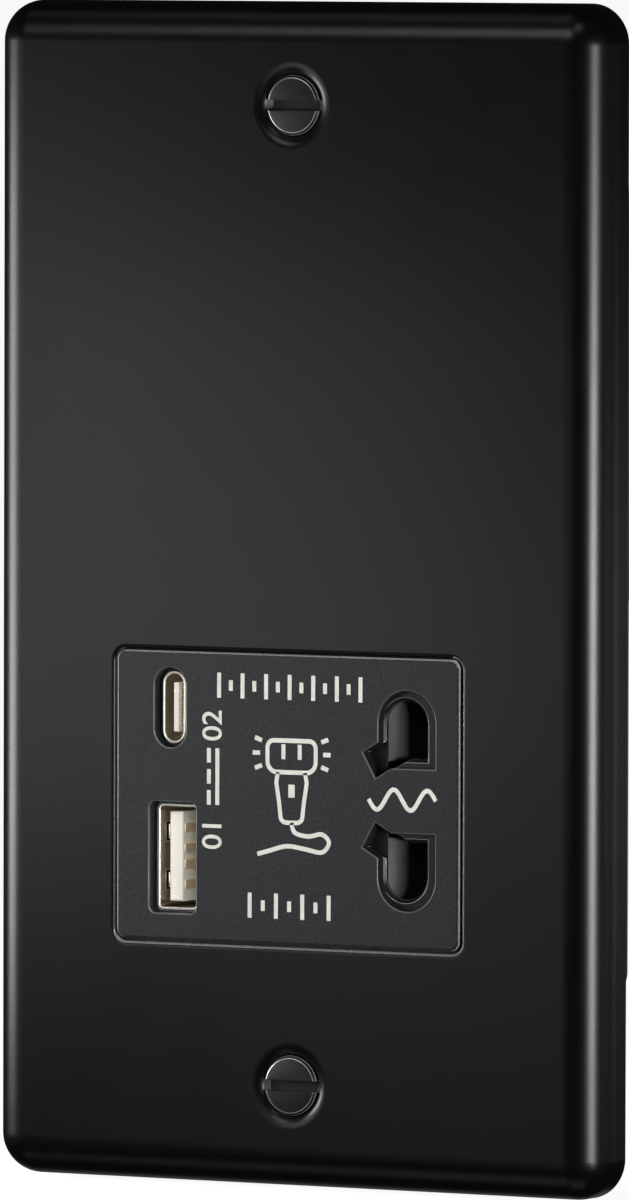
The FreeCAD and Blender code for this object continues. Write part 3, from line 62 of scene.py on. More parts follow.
# Front plate
PLATE_W = 86.0
PLATE_H = 146.0
PLATE_FRONT = -7.5
PLATE_SHEET = 1.2
PLATE_CORNER_R = 5.1
PLATE_EDGE_R = 5.1
PLATE_EDGE_STEPS = 14
PLATE_BACK = PLATE_FRONT + PLATE_SHEET

# Cut-out in the plate: centre, width, height and corner, its rolled edge, and the parts of that edge with a
# painted highlight, as the direction that they face and the share of the roll in front of them
CUTOUT = (-0.38, -25.12, 48.9, 36.25, 1.5)
CUTOUT_LIP = 0.6
CUTOUT_PAINTED_HIGHLIGHT = ((RIGHT, 0.5), (LEFT, 0.2), (UP, 0.2))

# Insert: centre, width, height and corner of its face, and of the flange and hollow behind it
INSERT_OUTLINE = (-0.36, -25.0, 48.35, 35.75, 1.2)
INSERT_FLANGE = (0.0, -24.8, 53.6, 41.4, 3.9)
INSERT_HOLLOW = (0.0, -24.8, 45.4, 33.2, 0.5)
INSERT_FACE = -7.63
INSERT_WALL_BACK = -6.23
INSERT_FLANGE_FRONT = -6.3
INSERT_END = -5.0
INSERT_EDGE_R = 0.36
INSERT_MARGIN = 2.0
OPENING_LIP = 0.16

# Parts of the insert's rounded edge with a painted highlight: number of the material, direction that they
# face, and the shares of the edge's depth between which they run
INSERT_PAINTED_HIGHLIGHTS = ((1, RIGHT, 0.42, 1.0), (1, UP, 0.1, 0.6), (2, LEFT, 0.03, 0.6))

# Shaver openings, as heights above their middle, and the slot for a slanted blade
PIN_MID_Z = -24.7
OPENING_X = 16.5
OPENING_W = 8.0
OPENING_FLAT = 4.0
OPENING_ARC = 9.54
SLANT_W = 3.6
SLANT_REACH = 6.12
SLANT_OFFSET = 7.34
SLANT_ANGLE = 30.0
OPENING_STEPS = 40

# Recesses round the USB outlets: centre, width, height and corner
USB_C_RECESS = (-16.9, -14.17, 4.5, 9.9, 2.25)
USB_A_RECESS = (-16.53, -32.7, 6.66, 13.8, 0.9)

# Fixing screws: head with its bevel and slot, neck, and thread with its points and levels in each turn
SCREW_Z = 60.3
HEAD_TOP = -7.35
HEAD_R = 3.7
HEAD_BEVEL = 0.32
HEAD_BEVEL_R = HEAD_R - HEAD_BEVEL
HEAD_RIM = 0.3
HEAD_EASE = 0.03
HEAD_TURN = 0.05
NECK_R = 1.55
NECK_L = 0.7
NECK_OVERLAP = 0.2
SLOT_W = 1.35
SLOT_DEPTH = 1.1
SCREW_L = 30.0
SCREW_R = 1.75
SCREW_MINOR_R = 1.4
SCREW_PITCH = 0.6
THREAD_COLUMNS = 36
THREAD_LEVELS = 8

# Seats of the fixing screws in the plate: a rounded lip, a cone and a hole, swollen at the back
SEAT_MOUTH_R = 4.53
SEAT_LIP_R = 2.2
SEAT_ANGLE = 45.0
SEAT_PAINT_DEPTH = 0.7
SEAT_CUT = 4.0
SWELL_OVERLAP = 0.6
HOLE_R = 1.9

# Print on the insert, a hair proud of its face
STROKE_W = 0.55
MITRE_LIMIT = 0.3
PRINT_FACE = -7.642
PRINT_BACK = -7.62

# Shaver sign: centre line, top, width of its switch, and its hum as distances from the head
SIGN_X = 0.35
SIGN_TOP = -17.75
SIGN_SWITCH_W = 0.9
SIGN_HUM = (4.45, 5.5)
SIGN_HUM_DEPTH = 1.6
SIGN_HUM_TURNS = (20, 0, -20)
SIGN_STEPS = 6

# Tick scales: name, left, right, bottom and top, room for two ticks, and what a short tick lacks at each end
SCALES = (
    ("scale_top", -10.2, 10.3, -12.75, -9.65),
    ("scale_bottom", -5.8, 5.9, -39.75, -36.65),
)
TICK_PAIR = 3.4
TICK_SHORT = 0.9

# Wave of two periods: left end, width, middle height and swing
WAVE_X = 11.2
WAVE_W = 9.4
WAVE_Z = -24.55
WAVE_SWING = 1.25
WAVE_STEPS = 60

# Sign for direct current: a line down the face, with dashes beside it
DIRECT_X = -10.15
DIRECT_ENDS = (-19.0, -26.0)
DASH_X = -11.35
DASH_L = 1.8
DASH_STARTS = (-19.0, -21.6, -24.2)

# Numbers that run up the face: name, digits and height of their middle
NUMBERS = (
    ("number_upper", "02", -16.2),
    ("number_lower", "01", -29.6),
)
NUMBER_X = -10.75
NUMBER_SIZE = 3.9
NUMBER_WEIGHT = 0.03
NUMBER_STEPS = 6

# Camera, fitted to the photograph by least squares
PHOTO_W = 629
PHOTO_H = 1200
FOCAL_PX = 15111.2
AXIS_PX = (304.03, 595.23)
CAMERA_AZIMUTH = 29.396
CAMERA_ELEVATION = 2.781
CAMERA_ROLL = 0.151
CAMERA_DISTANCE = 1859.39
CAMERA_TARGET = (0.0, -4.0, 0.0)

# Soft lights: azimuth, elevation, distance, width and height in metres, power in watts, and aim. The detail
# light falls only on the print and the USB outlets, the screw light only on the fixing screws, and the rear
# lights only on the CAD nodes.
DETAIL_LIGHT = (24, 12, 0.7, 0.5, 0.6, 4.3, (0, 0, -25))
DETAIL_NODES = ("usb_a_shell", "usb_a_insulator", "usb_a_contacts", "usb_c_shell", "usb_c_insulator",
                "usb_c_contacts")
SCREW_LIGHT = (-68, 9, 0.7, 0.12, 0.1, 0.6, (0, 0, 0))
REAR_LIGHTS = (
    (212, 38, 1.2, 0.9, 0.9, 11, (0, 20, 0)),
    (142, 28, 1.2, 0.9, 0.9, 7, (0, 20, 0)),
)

# Most of these were fitted to the tones of the plate in the photograph by a scratch program, and some of them
# changed by hand afterwards. The last three were set one by one.
SOFT_LIGHTS = (
    (62, 0, 0.7, 0.18, 0.08, 1.45, (0, 0, -38)),
    (67, 0, 0.7, 0.08, 0.3, 0.42, (0, 0, -150)),
    (105, 0, 0.7, 0.3, 0.08, 0.06, (0, 0, -50)),
    (135, 0, 0.7, 0.3, 0.08, 0.064, (0, 0, -50)),
    (-70, -12, 0.16, 0.07, 0.07, 0.024, (-35, 0, 0)),
    (-73, 0, 0.28, 0.12, 0.12, 0.285, (0, 0, -4)),
    (-50, 0, 0.28, 0.12, 0.12, 0.0358, (35, 0, 0)),
    (-30, -12, 0.16, 0.07, 0.07, 0.0035, (35, 0, 0)),
    (-30, 0, 0.16, 0.07, 0.07, 0.0099, (0, 0, 0)),
    (-10, -25, 0.28, 0.12, 0.12, 0.0074, (-35, 0, 0)),
    (-10, 0, 0.16, 0.07, 0.07, 0.0044, (35, 0, 0)),
    (-60, 65, 0.7, 0.3, 0.2, 0.0443, (0, 0, 0)),
    (-20, 35, 0.7, 0.3, 0.2, 0.3512, (0, 0, 0)),
    (-40, -60, 0.7, 0.3, 0.2, 0.0483, (0, 0, 0)),
    (30, -75, 0.7, 0.3, 0.3, 0.07, (0, 0, 0)),
    (13, 53, 0.7, 0.2, 0.2, 0.12, (0, 0, 0)),
    (209, -32, 0.7, 0.5, 0.3, 0.07, (0, 0, 0)),
)
WORLD_LIGHT = 0.012

# Floor: half its width in metres, its distance below the plate, and the glow that keeps it pale
FLOOR_HALF = 30.0
FLOOR_GAP = 0.5
FLOOR_GLOW = 0.93

# Procedural materials: scale of the broad noise, per metre, and the band that most of its values lie in
BROAD_SCALE = 120.0
BROAD_BAND = (0.3, 0.7)

# Rounded edges of the CAD nodes, and for some of them a lighter material of the edges that paints a highlight
# on them
EDGE_W = 0.12
EDGE_WIDTHS = {
    "usb_a_shell": 0.11,
    "usb_c_shell": 0.11,
    "usb_a_contacts": 0.03,
    "usb_c_contacts": 0.02,
    "shutter_spring": 0.04,
}
EDGE_HIGHLIGHT_MATERIALS = {
    "module_cover": "painted_highlight_edge",
    "usb_a_shell": "painted_highlight_rim",
    "usb_c_shell": "painted_highlight_rim",
}


# Camera, light and stage

def add_object(name, data):
    """New object in the scene."""
    item = bpy.data.objects.new(name, data)
    bpy.context.scene.collection.objects.link(item)
    return item


def toward(azimuth, elevation):
    """Unit vector from the object towards an azimuth and elevation."""
    az, el = math.radians(azimuth), math.radians(elevation)
    return Vector((math.sin(az) * math.cos(el), -math.cos(az) * math.cos(el), math.sin(el)))


def make_camera():
    """Camera at the photograph's viewing angle."""
    az, roll = math.radians(CAMERA_AZIMUTH), math.radians(CAMERA_ROLL)
    back = toward(CAMERA_AZIMUTH, CAMERA_ELEVATION)
    right = Vector((math.cos(az), math.sin(az), 0.0))
    up = back.cross(right)
    right, up = right * math.cos(roll) + up * math.sin(roll), up * math.cos(roll) - right * math.sin(roll)
    data = bpy.data.cameras.new("camera")
    data.sensor_fit = "VERTICAL"
    data.sensor_height = 36.0
    data.lens = FOCAL_PX / PHOTO_H * data.sensor_height
    data.shift_x = (PHOTO_W / 2 - AXIS_PX[0]) / PHOTO_H
    data.shift_y = (AXIS_PX[1] - PHOTO_H / 2) / PHOTO_H
    data.clip_start = 0.05
    data.clip_end = 100.0
    data.dof.use_dof = False
    camera = add_object("camera", data)
    place = (Vector(CAMERA_TARGET) + back * CAMERA_DISTANCE) * MM
    turn = Matrix((right, up, back)).transposed().to_4x4()
    camera.matrix_world = Matrix.Translation(place) @ turn
    bpy.context.scene.camera = camera


def make_light(name, azimuth, elevation, distance, width, height, power, target):
    """Soft area light that looks at a target from an azimuth and elevation."""
    away = toward(azimuth, elevation)
    data = bpy.data.lights.new(name, "AREA")
    data.shape = "RECTANGLE"
    data.size = width
    data.size_y = height
    data.energy = power
    lamp = add_object(name, data)
    lamp.location = Vector(target) * MM + away * distance
    lamp.rotation_euler = away.to_track_quat("Z", "Y").to_euler()
    lamp.visible_camera = False
    return lamp


def make_world():
    """Dim surroundings that look white to the camera."""
    world = bpy.data.worlds.new("studio")
    bpy.context.scene.world = world
    world.use_nodes = True
    tree = world.node_tree
    tree.nodes.clear()
    out = tree.nodes.new("ShaderNodeOutputWorld")
    mix = tree.nodes.new("ShaderNodeMixShader")
    path = tree.nodes.new("ShaderNodeLightPath")
    tree.links.new(path.outputs["Is Camera Ray"], mix.inputs[0])
    tree.links.new(mix.outputs[0], out.inputs["Surface"])
    for entry, strength in ((1, WORLD_LIGHT), (2, 1.0)):
        glow = tree.nodes.new("ShaderNodeBackground")
        glow.inputs["Color"].default_value = (1.0, 1.0, 1.0, 1.0)
        glow.inputs["Strength"].default_value = strength
        tree.links.new(glow.outputs[0], mix.inputs[entry])


def light_for(name, values, pieces):
    """Soft light that falls on the named pieces alone."""
    group = bpy.data.collections.new(name)
    for piece in pieces:
        group.objects.link(bpy.data.objects[piece])
    make_light(name, *values).light_linking.receiver_collection = group


def make_stage():
    """Plain pale floor just under the plate."""
    level = -PLATE_H / 2 * MM - FLOOR_GAP * MM
    square = ((-1, -1), (1, -1), (1, 1), (-1, 1))
    data = bpy.data.meshes.new("floor")
    data.from_pydata([(FLOOR_HALF * x, FLOOR_HALF * y, level) for x, y in square], [], [(0, 1, 2, 3)])
    floor = add_object("floor", data)
    material = bpy.data.materials.new("floor")
    material.use_nodes = True
    shader = material.node_tree.nodes["Principled BSDF"]
    shader.inputs["Base Color"].default_value = (0.8, 0.8, 0.8, 1.0)
    shader.inputs["Roughness"].default_value = 0.9
    shader.inputs["Emission Color"].default_value = (1.0, 1.0, 1.0, 1.0)
    shader.inputs["Emission Strength"].default_value = FLOOR_GLOW
    data.materials.append(material)
    floor.visible_glossy = False
    floor.visible_diffuse = False
    floor.visible_shadow = False


# Procedural materials

def surface(name, colour, roughness, metallic=0.0, grain=0.15, depth=0.004, mottle=0.08, wear=0.05,
            stretch=(1.0, 1.0, 1.0)):
    """Principled material with grain in its normals, a mottled tone and an uneven roughness.

    grain is the size of the relief in mm, depth its height in mm, mottle the change of tone as a share of
    the colour, and wear the change of roughness. A stretch under 1 draws the grain out along an axis.
    """
    material = bpy.data.materials.new(name)
    material.use_nodes = True
    tree = material.node_tree
    shader = tree.nodes["Principled BSDF"]
    place = tree.nodes.new("ShaderNodeTexCoord")
    scaled = tree.nodes.new("ShaderNodeMapping")
    scaled.inputs["Scale"].default_value = stretch
    tree.links.new(place.outputs["Object"], scaled.inputs["Vector"])
    fine = tree.nodes.new("ShaderNodeTexNoise")
    fine.inputs["Scale"].default_value = 1.0 / (grain * MM)
    fine.inputs["Detail"].default_value = 2.0
    tree.links.new(scaled.outputs["Vector"], fine.inputs["Vector"])
    broad = tree.nodes.new("ShaderNodeTexNoise")
    broad.inputs["Scale"].default_value = BROAD_SCALE
    broad.inputs["Detail"].default_value = 3.0
    tree.links.new(scaled.outputs["Vector"], broad.inputs["Vector"])
    bump = tree.nodes.new("ShaderNodeBump")
    bump.inputs["Strength"].default_value = 1.0
    bump.inputs["Distance"].default_value = depth * MM
    tree.links.new(fine.outputs["Fac"], bump.inputs["Height"])
    tree.links.new(bump.outputs["Normal"], shader.inputs["Normal"])
    rough = tree.nodes.new("ShaderNodeMapRange")
    rough.inputs["From Min"].default_value = BROAD_BAND[0]
    rough.inputs["From Max"].default_value = BROAD_BAND[1]
    rough.inputs["To Min"].default_value = max(roughness - wear, 0.02)
    rough.inputs["To Max"].default_value = min(roughness + wear, 1.0)
    tree.links.new(broad.outputs["Fac"], rough.inputs["Value"])
    tree.links.new(rough.outputs["Result"], shader.inputs["Roughness"])
    tone = tree.nodes.new("ShaderNodeMix")
    tone.data_type = "RGBA"
    tone.inputs["A"].default_value = tuple(c * (1 - mottle) for c in colour) + (1.0,)
    tone.inputs["B"].default_value = tuple(min(c * (1 + mottle), 1.0) for c in colour) + (1.0,)
    tree.links.new(fine.outputs["Fac"], tone.inputs["Factor"])
    tree.links.new(tone.outputs["Result"], shader.inputs["Base Color"])
    shader.inputs["Metallic"].default_value = metallic
    return material


def make_materials():
    """One material for each slot of the record, and those of the pieces added here."""
    brushed = dict(roughness=0.30, metallic=1.0)
    looks = {
        "plate_paint": dict(colour=(0.004, 0.004, 0.0041), roughness=0.28, grain=0.22, depth=0.003,
                            mottle=0.10, wear=0.012),
        "insert_plastic": dict(colour=(0.031, 0.033, 0.0375), roughness=0.46, grain=0.32, depth=0.05,
                               mottle=0.8),
        # Lighter materials for edges, which paint highlights on them
        "painted_highlight_edge": dict(colour=(0.78, 0.79, 0.82), roughness=0.28, metallic=0.5, grain=0.3,
                            mottle=0.25, wear=0.08),
        "soft_edge": dict(colour=(0.20, 0.205, 0.22), roughness=0.34, metallic=0.3, grain=0.3,
                          mottle=0.25, wear=0.06),
        "seat_paint": dict(colour=(0.004, 0.004, 0.0041), roughness=0.44, grain=0.22, mottle=0.10),
        # Near-white copy of the nickel for the USB shells' rounded edges: a painted highlight
        "painted_highlight_rim": dict(colour=(0.97, 0.95, 0.90), roughness=0.38, metallic=0.6, depth=0.002,
                          mottle=0.05),
        "cover_plastic": dict(colour=(0.018, 0.018, 0.019), roughness=0.42, grain=0.35, depth=0.008),
        "housing_plastic": dict(colour=(0.035, 0.035, 0.037), roughness=0.45, grain=0.5, depth=0.012,
                                mottle=0.03),
        "screw_black": dict(colour=(0.014, 0.014, 0.0145), roughness=0.42, grain=0.25, depth=0.006,
                            mottle=0.15),
        "zinc_steel": dict(colour=(0.62, 0.63, 0.65), grain=0.2, depth=0.003, wear=0.10, **brushed),
        "spring_steel": dict(colour=(0.50, 0.50, 0.51), roughness=0.25, metallic=1.0, grain=0.12,
                             depth=0.002, stretch=(1.0, 1.0, 0.15), wear=0.06),
        "nickel": dict(colour=(0.56, 0.51, 0.42), grain=0.10, depth=0.0015, wear=0.06,
                       stretch=(1.0, 0.2, 1.0), **brushed),
        "brass": dict(colour=(0.72, 0.52, 0.22), depth=0.003, wear=0.08, **brushed),
        "gold": dict(colour=(0.86, 0.70, 0.48), roughness=0.36, metallic=0.4, grain=0.08, depth=0.001),
        "core_steel": dict(colour=(0.23, 0.23, 0.24), roughness=0.50, metallic=0.8, grain=0.5, depth=0.06,
                           stretch=(0.02, 1.0, 0.02), mottle=0.3, wear=0.10),
        "copper_wire": dict(colour=(0.62, 0.22, 0.08), roughness=0.28, metallic=1.0, grain=0.3, depth=0.08,
                            stretch=(0.02, 0.02, 1.0), mottle=0.2, wear=0.06),
        "bobbin_plastic": dict(colour=(0.70, 0.68, 0.60), roughness=0.45, grain=0.4, depth=0.006,
                               mottle=0.03),
        "shutter_plastic": dict(colour=(0.017, 0.017, 0.019), roughness=0.46, grain=0.3, depth=0.012,
                                mottle=0.3),
        "switch_plastic": dict(colour=(0.03, 0.03, 0.032), roughness=0.40, grain=0.3, depth=0.006),
        "plunger_plastic": dict(colour=(0.55, 0.08, 0.05), roughness=0.35, grain=0.3, depth=0.003),
        "tongue_white": dict(colour=(0.86, 0.83, 0.73), roughness=0.42, grain=0.2, depth=0.003, mottle=0.03),
        "cutout_case": dict(colour=(0.55, 0.56, 0.57), roughness=0.35, metallic=0.9, grain=0.2, depth=0.003),
        "board_laminate": dict(colour=(0.03, 0.16, 0.06), roughness=0.35, grain=0.6, depth=0.01,
                               mottle=0.15),
        "can_aluminium": dict(colour=(0.70, 0.70, 0.71), grain=0.2, depth=0.002, stretch=(0.1, 1.0, 1.0),
                              **brushed),
        "chip_plastic": dict(colour=(0.02, 0.02, 0.021), roughness=0.45, depth=0.006),
        "coil_ferrite": dict(colour=(0.05, 0.05, 0.052), roughness=0.55, grain=0.2, depth=0.012),
        "print_ink": dict(colour=(0.58, 0.565, 0.52), roughness=0.55, grain=0.12, depth=0.003, mottle=0.05),
    }
    return {name: surface(name, **look) for name, look in looks.items()}


# Mesh helpers

def new_piece(name, verts, faces):
    """Mesh object from millimetre vertices, with its normals outward."""
    data = bpy.data.meshes.new(name)
    data.from_pydata([(x * MM, y * MM, z * MM) for x, y, z in verts], [], faces)
    work = bmesh.new()
    work.from_mesh(data)
    bmesh.ops.remove_doubles(work, verts=work.verts, dist=1e-8)
    bmesh.ops.recalc_face_normals(work, faces=work.faces)
    work.to_mesh(data)
    work.free()
    return add_object(name, data)


def outline(w, h, r):
    """Rounded rectangle about the origin as (x, z) points, anticlockwise from the front."""
    points = []
    for quarter, (sx, sz) in enumerate(((1, 1), (-1, 1), (-1, -1), (1, -1))):
        cx, cz = sx * (w / 2 - r), sz * (h / 2 - r)
        for i in range(CORNER_STEPS + 1):
            turn = math.radians(90 * (quarter + i / CORNER_STEPS))
            points.append((cx + r * math.cos(turn), cz + r * math.sin(turn)))
    return points


def arc(steps, end=90.0):
    """Sine and cosine at even steps from 0 to an end angle."""
    turns = [math.radians(end * i / steps) for i in range(steps + 1)]
    return [(math.sin(turn), math.cos(turn)) for turn in turns]


def stack(name, rings):
    """Closed solid through rings of as many points each, capped at both ends."""
    count = len(rings[0])
    verts = [p for ring in rings for p in ring]
    faces = [tuple(range(count)), tuple(range(len(verts) - count, len(verts)))]
    for level in range(len(rings) - 1):
        base = level * count
        for i in range(count):
            j = (i + 1) % count
            faces.append((base + i, base + j, base + count + j, base + count + i))
    return new_piece(name, verts, faces)


def placed(points, y, cx=0.0, cz=0.0):
    """(x, z) points moved to a centre and a level along Y."""
    return [(x + cx, y, z + cz) for x, z in points]


def turned(name, profile, x, z):
    """Solid turned about an axis along Y: the profile is pairs of radius and y, from axis to axis."""
    turns = [2 * math.pi * i / TURN_STEPS for i in range(TURN_STEPS)]
    rings = []
    for r, y in profile:
        r = max(r, AXIS_R)
        rings.append([(x + r * math.cos(turn), y, z + r * math.sin(turn)) for turn in turns])
    return stack(name, rings)


def bool_with(piece, other, operation):
    """Cuts another solid away from a piece or joins it on; the other one is used up."""
    step = piece.modifiers.new("step", "BOOLEAN")
    step.operation = operation
    step.solver = "EXACT"
    step.object = other
    graph = bpy.context.evaluated_depsgraph_get()
    result = bpy.data.meshes.new_from_object(piece.evaluated_get(graph))
    piece.modifiers.clear()
    old, piece.data = piece.data, result
    bpy.data.meshes.remove(old)
    bpy.data.objects.remove(other)


def rounded_shape(sizes):
    """Rounded rectangle from its centre, width, height and corner, as a function of how far it is grown."""
    cx, cz, w, h, r = sizes
    return lambda grow: [(x + cx, z + cz) for x, z in outline(w + 2 * grow, h + 2 * grow, r + grow)]


def flared(name, shape, lip, front, back):
    """Cutter whose mouth widens in a quarter round of a radius where it meets the front."""
    levels = [placed(shape(lip), front - CLEAR)]
    for sine, cosine in arc(EDGE_STEPS):
        levels.append(placed(shape(lip * (1 - sine)), front + lip * (1 - cosine)))
    return stack(name, levels + [placed(shape(0), back)])


def mark_faces(piece, sizes, margin, front, back, index, facing=None):
    """One of a piece's other materials for its slanting faces between two levels, within a rectangle.

    Where facing is given, only the faces that look that way in the plane of the front are marked.
    """
    slack, least_slant, least_turn = 0.001, 0.02, 0.1
    cx, cz, w, h, _ = sizes
    for face in piece.data.polygons:
        x, y, z = face.center / MM
        near = abs(x - cx) < w / 2 + margin and abs(z - cz) < h / 2 + margin
        level = front + slack < y < back - slack
        slants = abs(face.normal.y) > least_slant
        turned_to = not facing or face.normal.x * facing[0] + face.normal.z * facing[1] > least_turn
        if near and level and slants and turned_to:
            face.material_index = index


def smooth(piece, angle=35.0):
    """Smooth shading with sharp edges above an angle, weighted by the faces' sizes."""
    piece.data.shade_smooth()
    piece.data.set_sharp_from_angle(angle=math.radians(angle))
    weighted = piece.modifiers.new("weighted", "WEIGHTED_NORMAL")
    weighted.keep_sharp = True
    weighted.weight = 100


def paint(piece, *names):
    """Gives a piece its materials, in the order of their numbers on its faces."""
    for name in names:
        piece.data.materials.append(MATERIALS[name])


def dress(piece, body=UNIT, replaces=()):
    """Sets a piece on its body, and hides the CAD nodes that it stands for."""
    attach(piece, body)
    if replaces:
        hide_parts(*replaces)


# Front plate

def seat_profile(front, far):
    """Half profile of the pressed seat: rounded lip, cone and hole."""
    start = SEAT_MOUTH_R + SEAT_LIP_R * math.tan(math.radians(SEAT_ANGLE / 2))
    points = [(0.0, front - CLEAR), (start, front - CLEAR)]
    for sine, cosine in arc(EDGE_STEPS, SEAT_ANGLE):
        points.append((start - SEAT_LIP_R * sine, front + SEAT_LIP_R * (1 - cosine)))
    cone_end = front + SEAT_MOUTH_R - HOLE_R
    return points + [(HOLE_R, cone_end), (HOLE_R, far), (0.0, far)]


def plate_ring(inset, y):
    """Outline of the plate, drawn in by an inset, at a level along Y."""
    return placed(outline(PLATE_W - 2 * inset, PLATE_H - 2 * inset, max(PLATE_CORNER_R - inset, SHARP_R)), y)


def make_plate():
    """Pressed plate: rounded edge, two seats and the insert's cut-out."""
    inner_r = PLATE_EDGE_R - PLATE_SHEET
    rings = [plate_ring(PLATE_SHEET + inner_r * (1 - cosine), PLATE_BACK + inner_r * (1 - sine))
             for sine, cosine in reversed(arc(PLATE_EDGE_STEPS))]
    rings += [plate_ring(PLATE_SHEET, 0.0), plate_ring(0.0, 0.0)]
    rings += [plate_ring(PLATE_EDGE_R * (1 - cosine), PLATE_FRONT + PLATE_EDGE_R * (1 - sine))
              for sine, cosine in arc(PLATE_EDGE_STEPS)]
    plate = stack("plate", rings)
    bool_with(plate, flared("cutout", rounded_shape(CUTOUT), CUTOUT_LIP, PLATE_FRONT, PLATE_BACK + CLEAR),
              "DIFFERENCE")
    wide = SEAT_MOUTH_R + PLATE_SHEET * (math.sqrt(2) - 1)
    narrow = HOLE_R + PLATE_SHEET
    start, end = PLATE_BACK - SWELL_OVERLAP, PLATE_BACK + wide - narrow
    swell = [(0.0, start), (wide, start), (wide, PLATE_BACK), (narrow, end), (0.0, end)]
    for z in (-SCREW_Z, SCREW_Z):
        bool_with(plate, turned("swell", swell, 0, z), "UNION")
        bool_with(plate, turned("seat", seat_profile(PLATE_FRONT, PLATE_BACK + SEAT_CUT), 0, z), "DIFFERENCE")
    smooth(plate)
    paint(plate, "plate_paint", "painted_highlight_edge", "seat_paint")
    # Painted highlight: a lighter material on the parts of the cut-out's rolled edge that face right, left
    # and up
    lip_end = PLATE_FRONT + CUTOUT_LIP
    for facing, share in CUTOUT_PAINTED_HIGHLIGHT:
        mark_faces(plate, CUTOUT, CUTOUT_LIP, PLATE_FRONT + CUTOUT_LIP * share, lip_end, 1, facing)
    for z in (-SCREW_Z, SCREW_Z):
        seat = (0.0, z, 2 * SEAT_MOUTH_R, 2 * SEAT_MOUTH_R, 0.0)
        mark_faces(plate, seat, 0, PLATE_FRONT + SEAT_PAINT_DEPTH, PLATE_FRONT + SEAT_MOUTH_R - HOLE_R, 2)
    return plate


# Insert

def pin_shape(side):
    """Outline of an opening for round and flat pins, as a function of how far it is grown."""
    def points(grow):
        r = OPENING_W / 2 + grow
        flat = OPENING_FLAT - grow
        line = [(OPENING_X - r, flat), (OPENING_X + r, flat)]
        line += bend(OPENING_X, OPENING_ARC, r, 0, 180, OPENING_STEPS)
        return [(x, PIN_MID_Z + side * z) for x, z in line]
    return points


def slant_shape(side):
    """Outline of the slot for a slanted blade, as a function of how far it is grown."""
    def points(grow):
        half, reach = SLANT_W / 2 + grow, SLANT_REACH + grow
        cosine, sine = math.cos(math.radians(SLANT_ANGLE)), math.sin(math.radians(SLANT_ANGLE))
        line = [(0, half), (-reach, half), (-reach, -half), (0, -half)]
        return [(OPENING_X + u * cosine - w * sine, PIN_MID_Z + side * (SLANT_OFFSET + u * sine + w * cosine))
                for u, w in line]
    return points


def make_insert():
    """Face moulding with its flange, hollow back, shaver openings and recesses."""
    flange = rounded_shape(INSERT_FLANGE)(0)
    face = rounded_shape(INSERT_OUTLINE)
    rings = [placed(flange, INSERT_END), placed(flange, INSERT_FLANGE_FRONT)]
    rings.append(placed(face(0), INSERT_FLANGE_FRONT))
    for sine, cosine in arc(EDGE_STEPS):
        rings.append(placed(face(-INSERT_EDGE_R * (1 - cosine)), INSERT_FACE + INSERT_EDGE_R * (1 - sine)))
    insert = stack("insert", rings)
    back = INSERT_END + CLEAR
    hollow = rounded_shape(INSERT_HOLLOW)(0)
    bool_with(insert, stack("hollow", [placed(hollow, INSERT_WALL_BACK), placed(hollow, back)]), "DIFFERENCE")
    for shape in (pin_shape(1), slant_shape(1), pin_shape(-1), slant_shape(-1), rounded_shape(USB_C_RECESS),
                  rounded_shape(USB_A_RECESS)):
        bool_with(insert, flared("cutter", shape, OPENING_LIP, INSERT_FACE, back), "DIFFERENCE")
    smooth(insert)
    paint(insert, "insert_plastic", "painted_highlight_edge", "soft_edge")
    cx, cz, w, h, r = INSERT_OUTLINE
    inner = (cx, cz, w - 2 * INSERT_MARGIN, h - 2 * INSERT_MARGIN, r)
    # Painted highlight: a dim lighter material on the lips of the openings and recesses
    mark_faces(insert, inner, 0, INSERT_FACE, INSERT_FACE + OPENING_LIP, 2)
    slack = 0.01
    # Painted highlights: lighter materials on parts of the outer rounded edge, by the way that they face
    for index, facing, near, far in INSERT_PAINTED_HIGHLIGHTS:
        start, end = INSERT_FACE + INSERT_EDGE_R * near, INSERT_FACE + INSERT_EDGE_R * far
        mark_faces(insert, INSERT_OUTLINE, slack, start, end, index, facing)
    return insert


# Fixing screws

def thread(name, x, z, start, end):
    """Threaded bar along Y: each ring's points follow the helix, with plain runs at both ends.

    Along one pitch the profile has a flat root, a flank, a flat crest and a flank.
    """
    crest_level, flank_slope = 1.4, 3.6
    count = int((end - start) / SCREW_PITCH * THREAD_LEVELS)
    rings = []
    for level in range(count + 1):
        y = start + (end - start) * level / count
        fade = min(1.0, (y - start) / SCREW_PITCH, (end - y) / SCREW_PITCH)
        ring = []
        for i in range(THREAD_COLUMNS):
            phase = ((y - start) / SCREW_PITCH - i / THREAD_COLUMNS) % 1.0
            crest = min(max(crest_level - abs(phase - 0.5) * flank_slope, 0.0), 1.0)
            r = SCREW_MINOR_R + (SCREW_R - SCREW_MINOR_R) * crest * fade
            turn = 2 * math.pi * i / THREAD_COLUMNS
            ring.append((x + r * math.cos(turn), y, z + r * math.sin(turn)))
        rings.append(ring)
    return stack(name, rings)


def paint_highlight_rings(screw, z, rim):
    """Lighter material that paints highlights on the thin rings where the bevel of a screw's head begins and
    ends.
    """
    inner_w, inner_depth, outer_w, outer_depth = 0.05, 0.04, 0.08, 0.05
    least_slant, most_slant = 0.05, 0.995
    for face in screw.data.polygons:
        x, y, away = face.center / MM
        r = math.hypot(x, away - z)
        inner = abs(r - HEAD_BEVEL_R) < inner_w and y < HEAD_TOP + inner_depth
        outer = r > HEAD_R - outer_w and y < rim + outer_depth
        if (inner or outer) and least_slant < abs(face.normal.y) < most_slant:
            face.material_index = 1


